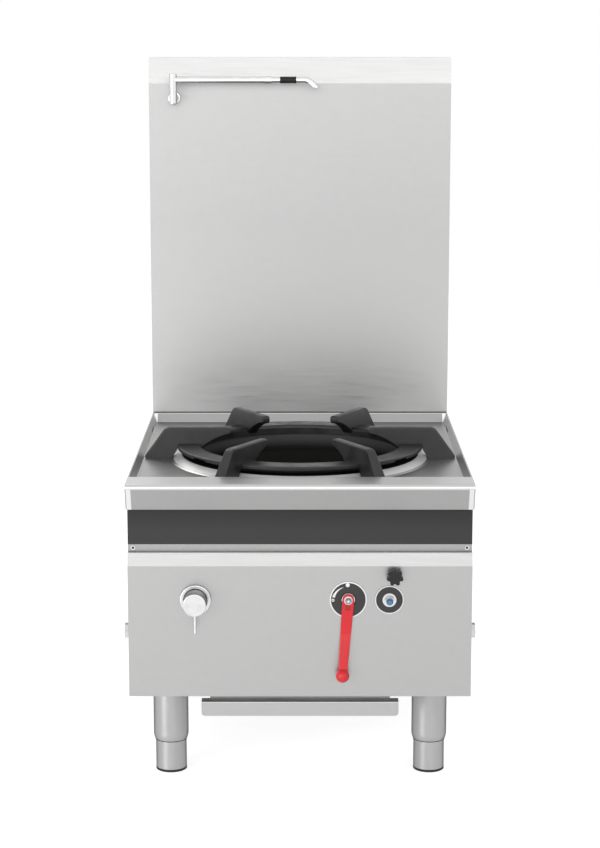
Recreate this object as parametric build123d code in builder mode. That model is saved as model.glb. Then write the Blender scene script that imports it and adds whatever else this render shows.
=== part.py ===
from build123d import *
import os
from math import atan, cos, degrees, radians, sin, tan

os.makedirs("parts", exist_ok=True)

# Overall size: X to the viewer's right, Y to the back, Z up from the floor
unit_width = 600.0
unit_depth = 800.0
rim_height = 557.0
splash_rise = 713.5
control_reach = 26.0
hob_front = (control_reach - unit_depth) / 2
unit_back = hob_front + unit_depth

# Sheet metal and clearances
sheet = 1.5
flange = 15.0
slide_gap = 0.3
turn_gap = 0.1
seat_gap = 0.1
screw_gap = 0.2

# Hob: a bullnose front, an apron that slopes back, and a recess with a raised collar
nose_radius = 6.5
apron_drop = 47.5
apron_slope = radians(26.3)
apron_lip = 9.0
rail_depth = 68.5
rim_width = 2.5
rear_ledge = 3.0
recess_depth = 18.0
wall_lean = 7.0
recess_round = 2.0
burner_setback = 330.0
collar_foot = 240.0
collar_lip = 218.0
collar_rise = 11.0
burner_hole = 199.0
collar_turn = 33.0
slot_setback = 600.0
slot_length = 60.0
slot_height = 4.0
slot_drop = 15.0

# Splashback
splash_depth = 91.0
band_height = 50.0
band_lean = 10.0
cover_recess = 4.0

# Cabinet
body_inset = 2.0
body_drop = 380.0
carcass_setback = 40.0
carcass_back_gap = 20.0
fascia_setback = 28.0
fascia_height = 63.2
strip_setback = 31.0
strip_height = 12.7
panel_setback = 14.0
panel_gap = 0.5
panel_band_height = 22.5
panel_band_lean = 5.0
base_lip = 12.0
spill_width = 300.0
spill_front = 100.0
spill_back = 530.0
spill_corner = 20.0

# Legs
leg_inset = 66.2
leg_setback = 145.0
leg_plate = 96.0
leg_plate_corner = 8.0
leg_plate_thick = 4.0
sleeve_radius = 31.5
sleeve_taper_top = 70.0
sleeve_end = 58.5
sleeve_end_radius = 28.9
foot_radius = 27.7
foot_wall = 2.5
foot_floor = 3.0
foot_top = 155.0
foot_groove = 1.2
pad_radius = 26.5
pad_height = 4.0

# Drip tray and its runners
tray_width = 317.0
tray_front = 50.0
tray_length = 510.0
tray_top_drop = 385.0
tray_height = 40.0
tray_sheet = 1.2
tray_rim = 12.0
grip_overhang = 14.5
grip_front = 30.0
grip_top_drop = 394.5
grip_height = 26.5
grip_corner = 6.0
runner_ledge = 13.0
runner_top = 17.0
runner_length = 520.0

# Pot support casting: a flat ring with a skirt inside it, and six arms
ring_outer = 227.0
ring_inner = 184.0
ring_crest = 10.0
ring_thick = 6.5
ring_edge_round = 2.0
ring_lip_round = 5.5
skirt_wall = 7.0
skirt_drop = 6.0
skirt_root_round = 3.0
ring_notch_angle = 37.0
ring_notch_length = 36.0
ring_notch_height = 3.0
ring_notch_depth = 8.0
arm_count = 6
arm_thickness = 23.0
arm_draft = 3.7
arm_round = 3.0
pot_height = 40.0
arm_foot_inner = 238.0
arm_foot_inner_round = 8.0
arm_foot_outer = 286.0
arm_heel = 288.5
arm_heel_rise = 4.0
arm_shoulder = 250.0
arm_shoulder_round = 16.0
arm_tip = 128.0
arm_tip_depth = 14.0
arm_nose_round = 5.0
arm_undercut_radius = 157.0
arm_undercut_rise = 17.0
arm_root_drop = 5.0

# Burner and its chamber
chamber_radius = 202.0
chamber_flange = 250.0
chamber_depth = 150.0
chamber_foot = 12.0
burner_cap_drop = 60.0
burner_cap_height = 16.0
burner_cap_radius = 88.0
burner_cap_crown = 6.0
burner_cap_spigot = 3.0
port_count = 24
port_width = 3.0
port_height = 4.0
bowl_radius = 84.0
bowl_wall = 6.0
bowl_height = 52.0
bowl_base = 55.0
bowl_straight = 29.0
mouth_setback = 118.0
mouth_radius = 30.0
throat_setback = 165.0
throat_radius = 21.0
tube_radius = 24.0
tube_wall = 4.0
tube_lift = 3.0
tube_flange = 32.0
tube_flange_height = 6.0
tube_joint = 98.0
bracket_width = 40.0
bracket_sheet = 3.0
bracket_seat = 35.0
bracket_slant = 12.0
mouth_clear = 4.0

# Controls on the front panel
control_drop = 206.0
tap_inset = 119.0
valve_x = 83.6
pilot_x = 154.8
knob_x = 163.2
knob_drop = 161.0

# Gas valve
gas_line_setback = 60.0
valve_barrel = 19.0
valve_barrel_length = 40.0
valve_hex = 32.0
valve_hex_length = 14.0
valve_boss = 12.0
valve_neck = 9.0
valve_neck_reach = 1.2
stem_radius = 5.0
stem_tip_radius = 4.0
stem_depth = 31.0
gas_bezel_radius = 32.5
gas_bezel_hole = 13.0
bezel_thickness = 1.0
lever_standoff = 2.0
lever_thickness = 4.0
lever_head = 10.5
lever_bend = 60.0
lever_length = 132.5
lever_bend_width = 18.4
lever_end_width = 15.2
lever_grip_thickness = 8.0
lever_kick = 12.0
lever_edge = 1.5
ball_radius = 11.75
lever_lean = radians(4.2)
nut_width = 16.0
nut_height = 4.0
nut_washer = 9.0
nut_washer_height = 1.0
stem_proud = 2.0

# Pipes
manifold_x = 230.0
supply_drop = 300.0
gas_pipe_wall = 2.5
manifold_radius = 13.5
manifold_socket = 17.0
manifold_bore = 12.1
manifold_bend = 30.0
feed_radius = 10.0
feed_bend = 20.0
feed_end = 84.0
socket_length = 24.0
socket_back_gap = 3.0
gas_socket_depth = 16.0
water_socket_depth = 14.0
water_pipe_wall = 1.0
water_radius = 8.0
water_socket = 12.0
water_bore = 9.32
water_bend = 25.0
riser_radius = 7.5
riser_bend = 20.0
riser_back_gap = 48.0
injector_hex = 17.0
injector_hex_length = 12.0
injector_length = 26.0
injector_tip = 4.0
injector_jet = 1.4

# Pilot assembly
pilot_bezel_radius = 25.25
pilot_flange = 12.0
pilot_flange_height = 2.0
pilot_neck = 8.0
pilot_neck_reach = 9.0
button_radius = 6.0
button_nose = 4.5
button_step = 16.0
button_reach = 22.0
button_inner = 5.0
button_travel = 5.0
block_left = 138.0
block_right = 178.0
block_top_drop = 150.0
block_bottom_drop = 224.0
block_back = 50.0
block_corner = 4.0
knob_radius = 14.5
knob_lobes = 7
knob_lobe_radius = 3.5
knob_front = 25.0
knob_depth = 14.0
spindle_radius = 3.0
spindle_inner = 12.0
spindle_hold = 8.0
pilot_tube_radius = 3.0
pilot_tube_wall = 0.8
pilot_tube_bend = 14.0
pilot_tube_x = 160.0
pilot_tube_drop = 185.0
pilot_tube_turn = 150.0
pilot_tube_top_drop = 105.0
pilot_ring = 104.0
pilot_side = 9.0
pilot_turn = -45.0
pilot_nut = 6.5
pilot_nut_height = 8.0
pilot_body = 5.0
pilot_top_drop = 68.0
pilot_plate_drop = 92.0
pilot_plate_thick = 3.0
pilot_plate_width = 36.0
pilot_plate_end = 112.0
probe_radius = 2.5
probe_top_drop = 70.0
probe_bottom_drop = 118.0

# Water tap
backplate_radius = 27.25
backplate_height = 6.0
tap_neck = 14.0
tap_body_radius = 18.0
tap_body_depth = 56.0
tap_line_setback = 45.0
tap_port = 10.0
tap_port_reach = 26.0
cap_radius = 20.0
cap_spigot = 7.0
cap_spigot_length = 20.0
cap_edge = 1.5
pin_radius = 2.5
pin_setback = -10.0
pin_reach = 54.0
pin_length = 42.0

# Swing spout: heights from the rosette, reaches from the pillar
spout_inset = 50.5
rosette_rise = 634.0
rosette_radius = 12.25
rosette_height = 6.0
spout_shank = 6.5
spout_shank_length = 14.0
locknut_width = 19.0
locknut_height = 5.0
stub_radius = 6.0
pillar_reach = 37.0
pillar_radius = 6.8
pillar_below = 11.0
pillar_above = 14.0
pivot_radius = 3.6
pivot_height = 12.0
arm_pillar_radius = 7.3
arm_pillar_height = 34.0
spout_arm_above = 22.0
spout_arm_radius = 6.2
spout_arm_reach = 193.7
spout_collar_radius = 7.0
spout_collar_length = 14.0
nozzle_radius = 5.5
nozzle_wall = 1.2
nozzle_hold = 12.0
nozzle_bend = 26.0
nozzle_reach = 280.8
nozzle_drop = 14.2
nozzle_overrun = 14.0
grip_start_reach = 210.2
grip_end_reach = 242.2
grip_radius = 6.25

# Fasteners
screw_head = 4.0
screw_head_height = 1.8
screw_shank = 2.0
screw_length = 6.0
rail_screw_edge = 9.0
bolt_width = 24.0
bolt_head = 10.5
bolt_washer = 14.0
bolt_washer_height = 2.5
bolt_shank = 8.0
bolt_length = 18.0
bolt_boss = 12.0
bolt_setback = 100.0
bolt_drop = 285.0

# Places worked out from the sizes
burner_y = hob_front + burner_setback
tap_x = tap_inset - unit_width / 2
recess_front = hob_front + rail_depth
splash_face = unit_back - splash_depth
recess_back = splash_face - rear_ledge
recess_middle = (recess_front + recess_back) / 2
floor_top = rim_height - recess_depth
floor_under = floor_top - sheet
collar_top = floor_top + collar_rise
body_half = unit_width / 2 - body_inset
body_bottom = rim_height - body_drop
carcass_front = hob_front + carcass_setback
carcass_back = unit_back - carcass_back_gap
carcass_middle = (carcass_front + carcass_back) / 2
panel_face = hob_front + panel_setback
panel_inside = panel_face + sheet
fascia_top = rim_height - apron_drop
fascia_bottom = fascia_top - fascia_height
strip_bottom = fascia_bottom - strip_height
panel_top = strip_bottom - panel_gap
splash_top = rim_height + splash_rise
cover_seat = unit_back - cover_recess
base_under = body_bottom + sheet
control_z = rim_height - control_drop
gas_y = hob_front + gas_line_setback
supply_z = rim_height - supply_drop
burner_axis = Axis((0, burner_y, 0), (0, 0, 1))


def front_plane(y):
    """Upright plane at depth y that faces the viewer: local x is X, local y is Z."""
    return Plane.XZ.offset(-y)


def side_plane(x):
    """Upright plane across the unit at x: local x is Y, local y is Z."""
    return Plane.YZ.offset(x)


def level(z):
    """Level plane at height z."""
    return Plane.XY.offset(z)


def bent_sheet(points, radius, thickness, side):
    """Section of a folded sheet whose outer line runs through the points."""
    with BuildLine() as outline:
        FilletPolyline(*points, radius=radius)
        offset(amount=thickness, side=side)
    make_face(outline.edges())


def pipe(points, bend, radius, wall):
    """Pipe along straight runs joined by tangent arcs, open at both ends."""
    with BuildLine() as route:
        FilletPolyline(*points, radius=bend)
    start = route.wires()[0]
    with BuildSketch(Plane(origin=start @ 0, z_dir=start % 0)) as section:
        Circle(radius)
        Circle(radius - wall, mode=Mode.SUBTRACT)
    sweep(sections=section.sketch, path=start)


def save(piece, label):
    """Name a finished piece and write it to its own file."""
    piece.label = label
    export_step(piece, f"parts/{label}.step")


# Screw places: (x, z) on the rail's face, the splashback's cover and the rear panel
rail_screw_x = body_half - rail_screw_edge
rail_screws = [(x, (fascia_bottom + strip_bottom) / 2) for x in (-rail_screw_x, rail_screw_x)]
cover_width = unit_width - 2 * sheet - 2 * slide_gap
cover_bottom = rim_height + sheet + slide_gap
cover_top = splash_top - sheet - slide_gap
cover_edge = flange / 2
cover_screws_at = [
    (x, z)
    for x in (cover_edge - cover_width / 2, cover_width / 2 - cover_edge)
    for z in (cover_bottom + cover_edge, (cover_bottom + cover_top) / 2, cover_top - cover_edge)
]
rear_width = 2 * body_half
rear_top = floor_under - sheet
rear_screws_at = [
    (x, z)
    for x in (cover_edge - rear_width / 2, rear_width / 2 - cover_edge)
    for z in (body_bottom + 2 * flange, (body_bottom + rear_top) / 2, rear_top - 2 * flange)
]


# Hob top, one pressed tub with skirts
nose_end = (
    hob_front + nose_radius * (1 - cos(apron_slope)),
    rim_height - nose_radius * (1 + sin(apron_slope)),
)
apron_foot = (
    nose_end[0] + (nose_end[1] - fascia_top) * tan(apron_slope),
    fascia_top,
)
wall_taper = degrees(atan(wall_lean / recess_depth))
recess_width = unit_width - 2 * rim_width
recess_length = recess_back - recess_front
spout_x = spout_inset - unit_width / 2
riser_y = unit_back - riser_back_gap
riser_hole = riser_radius + 2 * screw_gap

with BuildPart() as hob_top:
    with BuildSketch(side_plane(-unit_width / 2)):
        with BuildLine():
            rail = Line((unit_back, rim_height), (hob_front + nose_radius, rim_height))
            nose = TangentArc(rail @ 1, nose_end, tangent=(-1, 0))
            apron = Line(nose @ 1, apron_foot)
            Polyline(apron @ 1, (unit_back, fascia_top), rail @ 0)
        make_face()
    extrude(amount=unit_width)
    offset(amount=-sheet, openings=hob_top.faces().sort_by(Axis.Z)[0])
    with BuildSketch(side_plane(-unit_width / 2)):
        with BuildLine():
            Polyline(
                apron_foot,
                (apron_foot[0] + apron_lip, fascia_top),
                (apron_foot[0] + apron_lip, fascia_top + sheet),
                (apron_foot[0], fascia_top + sheet),
                close=True,
            )
        make_face()
    extrude(amount=unit_width)
    with BuildSketch(level(rim_height)):
        with Locations((0, recess_middle)):
            Rectangle(recess_width + 2 * sheet, recess_length + 2 * sheet)
    extrude(amount=-(recess_depth + sheet), taper=wall_taper)
    with BuildSketch(level(rim_height)):
        with Locations((0, recess_middle)):
            Rectangle(recess_width, recess_length)
    extrude(amount=-recess_depth, taper=wall_taper, mode=Mode.SUBTRACT)
    fillet(hob_top.faces().sort_by(Axis.Z)[-1].inner_wires().edges(), recess_round)
    with BuildSketch(level(floor_top)):
        with Locations((0, burner_y)):
            Circle(collar_foot)
    extrude(amount=-2 * sheet, mode=Mode.SUBTRACT)
    with BuildSketch(front_plane(burner_y)):
        bent_sheet(
            [
                (collar_foot + flange, floor_top),
                (collar_foot, floor_top),
                (collar_lip, collar_top),
                (burner_hole, collar_top),
                (burner_hole, collar_top - collar_turn),
            ],
            [4.0, 4.0, 2.0],
            sheet,
            Side.LEFT,
        )
    revolve(axis=burner_axis)
    slot_x = recess_width / 2 - wall_lean * slot_drop / recess_depth
    with Locations(
        (-slot_x, hob_front + slot_setback, rim_height - slot_drop),
        (slot_x, hob_front + slot_setback, rim_height - slot_drop),
    ):
        Box(3 * sheet, slot_length, slot_height, mode=Mode.SUBTRACT)
    with BuildSketch(level(rim_height)):
        with Locations((spout_x, riser_y)):
            Circle(riser_hole)
    extrude(amount=-2 * sheet, mode=Mode.SUBTRACT)
save(hob_top.part, "hob_top")

# Splashback front, a folded box with a band that leans back and an inner rear flange
with BuildPart() as splash_front:
    with BuildSketch(side_plane(-unit_width / 2)):
        with BuildLine():
            Polyline(
                (splash_face, rim_height),
                (splash_face, splash_top - band_height),
                (splash_face + band_lean, splash_top),
                (unit_back, splash_top),
                (unit_back, rim_height),
                close=True,
            )
        make_face()
    extrude(amount=unit_width)
    offset(amount=-sheet, openings=splash_front.faces().sort_by(Axis.Y)[-1])
    with BuildSketch(front_plane(cover_seat)):
        with Locations((0, (rim_height + splash_top) / 2)):
            Rectangle(unit_width - 2 * sheet, splash_rise - 2 * sheet)
            Rectangle(unit_width - 2 * flange, splash_rise - 2 * flange, mode=Mode.SUBTRACT)
        with Locations(*cover_screws_at):
            Circle(screw_shank + screw_gap, mode=Mode.SUBTRACT)
    extrude(amount=sheet)
    with BuildSketch(front_plane(splash_face - sheet)):
        with Locations((spout_x, rim_height + rosette_rise)):
            Circle(spout_shank + screw_gap)
    extrude(amount=-3 * sheet, mode=Mode.SUBTRACT)
    with BuildSketch(level(rim_height)):
        with Locations((spout_x, riser_y)):
            Circle(riser_hole)
    extrude(amount=2 * sheet, mode=Mode.SUBTRACT)
save(splash_front.part, "splash_front")

with BuildPart() as splash_rear:
    with BuildSketch(front_plane(cover_seat)):
        with Locations((0, (cover_bottom + cover_top) / 2)):
            Rectangle(cover_width, cover_top - cover_bottom)
        with Locations(*cover_screws_at):
            Circle(screw_shank + screw_gap, mode=Mode.SUBTRACT)
    extrude(amount=-sheet)
save(splash_rear.part, "splash_rear")

# Side panels, flanged all round, each with a welded boss for its bolt
bolt_y = hob_front + bolt_setback
bolt_z = rim_height - bolt_drop
for side, sign in (("left", -1), ("right", 1)):
    with BuildPart() as side_panel:
        with BuildSketch(side_plane(sign * (body_half - flange))):
            with Locations((carcass_middle, (body_bottom + floor_under) / 2)):
                Rectangle(carcass_back - carcass_front, floor_under - body_bottom)
        extrude(amount=sign * flange)
        inner_face = side_panel.faces().sort_by(Axis.X)[0 if sign > 0 else -1]
        offset(amount=-sheet, openings=inner_face)
        with BuildSketch(side_plane(sign * body_half)):
            with Locations((bolt_y, bolt_z)):
                Circle(bolt_washer)
        extrude(amount=-sign * bolt_boss)
        with BuildSketch(side_plane(sign * body_half)):
            with Locations((bolt_y, bolt_z)):
                Circle(bolt_shank + seat_gap)
        extrude(amount=-sign * 2 * bolt_boss, mode=Mode.SUBTRACT)
        with BuildSketch(front_plane(carcass_back)):
            with Locations(*[(x, z) for x, z in rear_screws_at if x * sign > 0]):
                Circle(screw_shank + screw_gap)
        extrude(amount=2 * sheet, mode=Mode.SUBTRACT)
    save(side_panel.part, f"side_panel_{side}")

with BuildPart() as side_bolts:
    for sign in (-1, 1):
        with BuildSketch(side_plane(sign * body_half)):
            with Locations((bolt_y, bolt_z)):
                Circle(bolt_washer)
        extrude(amount=sign * bolt_washer_height)
        with BuildSketch(side_plane(sign * (body_half + bolt_washer_height))):
            with Locations((bolt_y, bolt_z)):
                RegularPolygon(bolt_width / 2, 6, major_radius=False)
        extrude(amount=sign * bolt_head)
        with BuildSketch(side_plane(sign * body_half)):
            with Locations((bolt_y, bolt_z)):
                Circle(bolt_shank)
        extrude(amount=-sign * bolt_length)
save(side_bolts.part, "side_bolts")

# Rear panel with holes for the two supply sockets
with BuildPart() as rear_panel:
    with BuildSketch(front_plane(carcass_back)):
        with Locations((0, (body_bottom + rear_top) / 2)):
            Rectangle(rear_width, rear_top - body_bottom)
        with Locations((manifold_x, supply_z)):
            Circle(manifold_socket + seat_gap, mode=Mode.SUBTRACT)
        with Locations((tap_x, supply_z)):
            Circle(water_socket + seat_gap, mode=Mode.SUBTRACT)
        with Locations(*rear_screws_at):
            Circle(screw_shank + screw_gap, mode=Mode.SUBTRACT)
    extrude(amount=-sheet)
save(rear_panel.part, "rear_panel")

# Base plate: a shallow pan on the side panels' bottom flanges, open over the drip tray
with BuildPart() as base_plate:
    with BuildSketch(level(base_under)):
        with Locations((0, carcass_middle)):
            Rectangle(
                2 * (body_half - sheet - slide_gap),
                carcass_back - carcass_front - 2 * (sheet + slide_gap),
            )
    extrude(amount=base_lip)
    offset(amount=-sheet, openings=base_plate.faces().sort_by(Axis.Z)[-1])
    with BuildSketch(level(base_under)):
        with Locations((0, hob_front + (spill_front + spill_back) / 2)):
            RectangleRounded(spill_width, spill_back - spill_front, spill_corner)
    extrude(amount=2 * sheet, mode=Mode.SUBTRACT)
save(base_plate.part, "base_plate")

# Fascia under the apron, and the front rail whose face shows as a bright strip
with BuildPart() as fascia:
    with BuildSketch(front_plane(carcass_front)):
        with Locations((0, (fascia_top + fascia_bottom) / 2)):
            Rectangle(2 * body_half, fascia_height)
    extrude(amount=carcass_setback - fascia_setback)
    offset(amount=-sheet, openings=fascia.faces().sort_by(Axis.Y)[-1])
save(fascia.part, "fascia")

with BuildPart() as front_rail:
    with BuildSketch(front_plane(carcass_front)):
        with Locations((0, (fascia_bottom + strip_bottom) / 2)):
            Rectangle(2 * body_half, strip_height)
    extrude(amount=carcass_setback - strip_setback)
    offset(amount=-sheet, openings=front_rail.faces().sort_by(Axis.Y)[-1])
    with BuildSketch(front_plane(carcass_front)):
        with Locations(*rail_screws):
            Circle(screw_shank + screw_gap)
    extrude(amount=carcass_setback, mode=Mode.SUBTRACT)
save(front_rail.part, "front_rail")

# Front panel, a pan whose top band leans back, with a hole for each control
with BuildPart() as front_panel:
    with BuildSketch(side_plane(-body_half)):
        with BuildLine():
            Polyline(
                (carcass_front, panel_top),
                (panel_face + panel_band_lean, panel_top),
                (panel_face, panel_top - panel_band_height),
                (panel_face, body_bottom),
                (carcass_front, body_bottom),
                close=True,
            )
        make_face()
    extrude(amount=2 * body_half)
    offset(amount=-sheet, openings=front_panel.faces().sort_by(Axis.Y)[-1])
    with BuildSketch(front_plane(panel_face - sheet)):
        with Locations((tap_x, control_z)):
            Circle(tap_neck + seat_gap)
        with Locations((valve_x, control_z)):
            Circle(valve_neck + seat_gap)
        with Locations((pilot_x, control_z)):
            Circle(pilot_neck + seat_gap)
        with Locations((knob_x, rim_height - knob_drop)):
            Circle(spindle_radius + 2 * screw_gap)
    extrude(amount=-3 * sheet, mode=Mode.SUBTRACT)
save(front_panel.part, "front_panel")

# Screws: two in the rail, six in the splashback's cover and six in the rear panel
screw_rows = [
    (rail_screws, hob_front + strip_setback, 1),
    (cover_screws_at, cover_seat + sheet, -1),
    (rear_screws_at, carcass_back + sheet, -1),
]
with BuildPart() as cover_screws:
    for places, face_y, toward in screw_rows:
        with BuildSketch(front_plane(face_y)):
            with Locations(*places):
                Circle(screw_head)
        extrude(amount=toward * screw_head_height)
        with BuildSketch(front_plane(face_y)):
            with Locations(*places):
                Circle(screw_shank)
        extrude(amount=-toward * screw_length)
save(cover_screws.part, "cover_screws")

# Legs: a sleeve welded to its plate, a foot tube that screws down out of it, and a pad
sleeve_bore = foot_radius + slide_gap
leg_rows = (("front", hob_front + leg_setback), ("rear", unit_back - leg_setback))
for row, leg_y in leg_rows:
    for side, sign in (("left", -1), ("right", 1)):
        leg_x = sign * (unit_width / 2 - leg_inset)
        leg_axis = Axis((leg_x, leg_y, 0), (0, 0, 1))
        plate_under = base_under - leg_plate_thick
        with BuildPart() as leg_sleeve:
            with BuildSketch(level(plate_under)):
                with Locations((leg_x, leg_y)):
                    RectangleRounded(leg_plate, leg_plate, leg_plate_corner)
            extrude(amount=leg_plate_thick)
            with BuildSketch(front_plane(leg_y)):
                with BuildLine():
                    shoulder = TangentArc(
                        (leg_x + sleeve_radius, sleeve_taper_top),
                        (leg_x + sleeve_end_radius, sleeve_end),
                        tangent=(0, -1),
                    )
                    Polyline(
                        shoulder @ 1,
                        (leg_x + sleeve_bore, sleeve_end),
                        (leg_x + sleeve_bore, plate_under),
                        (leg_x + sleeve_radius, plate_under),
                        shoulder @ 0,
                    )
                make_face()
            revolve(axis=leg_axis)
        save(leg_sleeve.part, f"leg_sleeve_{row}_{side}")
        with BuildPart() as foot_tube:
            with BuildSketch(front_plane(leg_y)):
                with BuildLine():
                    Polyline(
                        (leg_x, pad_height),
                        (leg_x + foot_radius, pad_height),
                        (leg_x + foot_radius, foot_top),
                        (leg_x + foot_radius - foot_wall, foot_top),
                        (leg_x + foot_radius - foot_wall, pad_height + foot_floor),
                        (leg_x, pad_height + foot_floor),
                        close=True,
                    )
                make_face()
            revolve(axis=leg_axis)
            chamfer(foot_tube.edges().group_by(Axis.Z)[0], foot_groove)
        save(foot_tube.part, f"foot_tube_{row}_{side}")
        with BuildPart() as foot_pad:
            with BuildSketch(level(0)):
                with Locations((leg_x, leg_y)):
                    Circle(pad_radius)
            extrude(amount=pad_height)
        save(foot_pad.part, f"foot_pad_{row}_{side}")

# Drip tray with a rolled rim at each side and a grip lip that hangs ahead of it
tray_top = rim_height - tray_top_drop
tray_bottom = tray_top - tray_height
tray_front_y = hob_front + tray_front
tray_middle = tray_front_y + tray_length / 2
grip_top = rim_height - grip_top_drop
grip_width = tray_width + 2 * grip_overhang
with BuildPart() as drip_tray:
    with BuildSketch(level(tray_bottom)):
        with Locations((0, tray_middle)):
            Rectangle(tray_width, tray_length)
    extrude(amount=tray_height)
    with BuildSketch(level(tray_top)):
        with Locations((0, tray_middle)):
            Rectangle(tray_width + 2 * tray_rim, tray_length)
    extrude(amount=-tray_sheet)
    with BuildSketch(level(tray_top)):
        with Locations((0, tray_middle)):
            Rectangle(tray_width - 2 * tray_sheet, tray_length - 2 * tray_sheet)
    extrude(amount=tray_sheet - tray_height, mode=Mode.SUBTRACT)
    with BuildSketch(side_plane(-grip_width / 2)):
        bent_sheet(
            [
                (tray_front_y, grip_top),
                (hob_front + grip_front, grip_top),
                (hob_front + grip_front, grip_top - grip_height),
            ],
            2.5,
            tray_sheet,
            Side.LEFT,
        )
    extrude(amount=grip_width)
    lip_ends = drip_tray.edges().filter_by(Axis.Y).group_by(Axis.X)
    fillet([lip_ends[0].sort_by(Axis.Z)[0], lip_ends[-1].sort_by(Axis.Z)[0]], grip_corner)
save(drip_tray.part, "drip_tray")

# Tray runners: a channel under the base plate along each side of the tray
ledge_top = tray_top - tray_sheet - slide_gap
runner_web = tray_width / 2 + tray_rim + slide_gap
runner_front = hob_front + carcass_setback + flange
with BuildPart() as tray_runners:
    for sign in (-1, 1):
        with BuildSketch(front_plane(runner_front + runner_length)):
            with BuildLine():
                Polyline(
                    (sign * (runner_web + sheet - runner_top), base_under),
                    (sign * (runner_web + sheet), base_under),
                    (sign * (runner_web + sheet), ledge_top - sheet),
                    (sign * (runner_web + sheet - runner_ledge), ledge_top - sheet),
                    (sign * (runner_web + sheet - runner_ledge), ledge_top),
                    (sign * runner_web, ledge_top),
                    (sign * runner_web, base_under - sheet),
                    (sign * (runner_web + sheet - runner_top), base_under - sheet),
                    close=True,
                )
            make_face()
        extrude(amount=runner_length)
save(tray_runners.part, "tray_runners")

# Pot support: one casting, a flat ring with an inner skirt and six slanting, drafted arms
pot_top = rim_height + pot_height
ring_top = rim_height + ring_crest
ring_under = ring_top - ring_thick
skirt_outer = ring_inner + skirt_wall
skirt_end = rim_height - skirt_drop
arm_seat = (ring_top + ring_under) / 2

with BuildPart() as arm:
    with BuildSketch(Plane.XZ) as arm_face:
        with BuildLine():
            undercut = ThreePointArc(
                (arm_tip + arm_nose_round, pot_top - arm_tip_depth),
                (arm_undercut_radius, rim_height + arm_undercut_rise),
                (ring_inner + skirt_wall / 2, rim_height - arm_root_drop),
            )
            Polyline(
                undercut @ 1,
                (ring_inner + skirt_wall / 2, arm_seat),
                (ring_outer - ring_thick / 2, arm_seat),
                (arm_foot_inner, floor_top),
                (arm_foot_outer, floor_top),
                (arm_heel, floor_top + arm_heel_rise),
                (arm_shoulder, pot_top),
                (arm_tip, pot_top),
                (arm_tip, pot_top - arm_tip_depth),
                undercut @ 0,
            )
        make_face()
        for corner, radius in (
            ((arm_shoulder, pot_top), arm_shoulder_round),
            ((arm_tip, pot_top), arm_nose_round),
            ((arm_tip, pot_top - arm_tip_depth), arm_nose_round * 0.9),
            ((arm_foot_inner, floor_top), arm_foot_inner_round),
        ):
            fillet(arm_face.vertices().sort_by_distance(corner)[0], radius)
    extrude(amount=arm_thickness / 2, both=True)
    with BuildSketch(side_plane(0)):
        with Locations((0, floor_top)):
            Trapezoid(
                arm_thickness,
                pot_top - floor_top,
                90 - arm_draft,
                align=(Align.CENTER, Align.MIN),
            )
    extrude(amount=2 * arm_heel, mode=Mode.INTERSECT)
    cheeks = arm.faces().sort_by(Axis.Y)
    upper_edges = [
        edge
        for edge in cheeks[0].edges() + cheeks[-1].edges()
        if edge.center().Z > rim_height
    ]
    fillet(upper_edges, arm_round)

with BuildPart() as pot_support:
    with BuildSketch(front_plane(burner_y)) as ring_face:
        with BuildLine():
            Polyline(
                (ring_inner, ring_top),
                (ring_outer, ring_top),
                (ring_outer, ring_under),
                (skirt_outer, ring_under),
                (skirt_outer, skirt_end),
                (ring_inner, skirt_end),
                close=True,
            )
        make_face()
        for corner, radius in (
            ((ring_inner, ring_top), ring_lip_round),
            ((ring_outer, ring_top), ring_edge_round),
            ((skirt_outer, ring_under), skirt_root_round),
        ):
            fillet(ring_face.vertices().sort_by_distance(corner)[0], radius)
    revolve(axis=burner_axis)
    with Locations((0, burner_y, 0)):
        with PolarLocations(0, arm_count):
            add(arm.part)
    with Locations((0, burner_y, ring_under)):
        for angle in (-ring_notch_angle, ring_notch_angle - 180):
            with PolarLocations(ring_outer, 1, start_angle=angle):
                Box(
                    2 * ring_notch_depth,
                    ring_notch_length,
                    2 * ring_notch_height,
                    mode=Mode.SUBTRACT,
                )
save(pot_support.part, "pot_support")

# Burner: a cast bowl, its bolted mixing tube, a lift-off cap with a ring of ports, a strap
cap_top = rim_height - burner_cap_drop
bowl_rim = cap_top - burner_cap_height
bowl_bottom = bowl_rim - bowl_height
tube_z = bowl_bottom + tube_radius + tube_lift
mouth_y = hob_front + mouth_setback
throat_y = hob_front + throat_setback
joint_y = burner_y - tube_joint
tube_axis = Axis((0, mouth_y, tube_z), (0, 1, 0))
chamber_bottom = floor_under - chamber_depth


def tube_profile(wall):
    """Half section of the mixing tube from its mouth to the joint, less a wall."""
    with BuildLine() as half:
        Polyline(
            (mouth_y, tube_z),
            (mouth_y, tube_z + mouth_radius - wall),
            (throat_y, tube_z + throat_radius - wall),
            (joint_y, tube_z + tube_radius - wall),
            (joint_y, tube_z),
            close=True,
        )
    make_face(half.edges())


def bowl_profile(wall):
    """Half section of the burner bowl, less a wall."""
    with BuildLine() as half:
        Polyline(
            (0, bowl_bottom + wall),
            (bowl_base - wall / 2, bowl_bottom + wall),
            (bowl_radius - wall, bowl_rim - bowl_straight + wall / 2),
            (bowl_radius - wall, bowl_rim),
            (0, bowl_rim),
            close=True,
        )
    make_face(half.edges())


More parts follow.
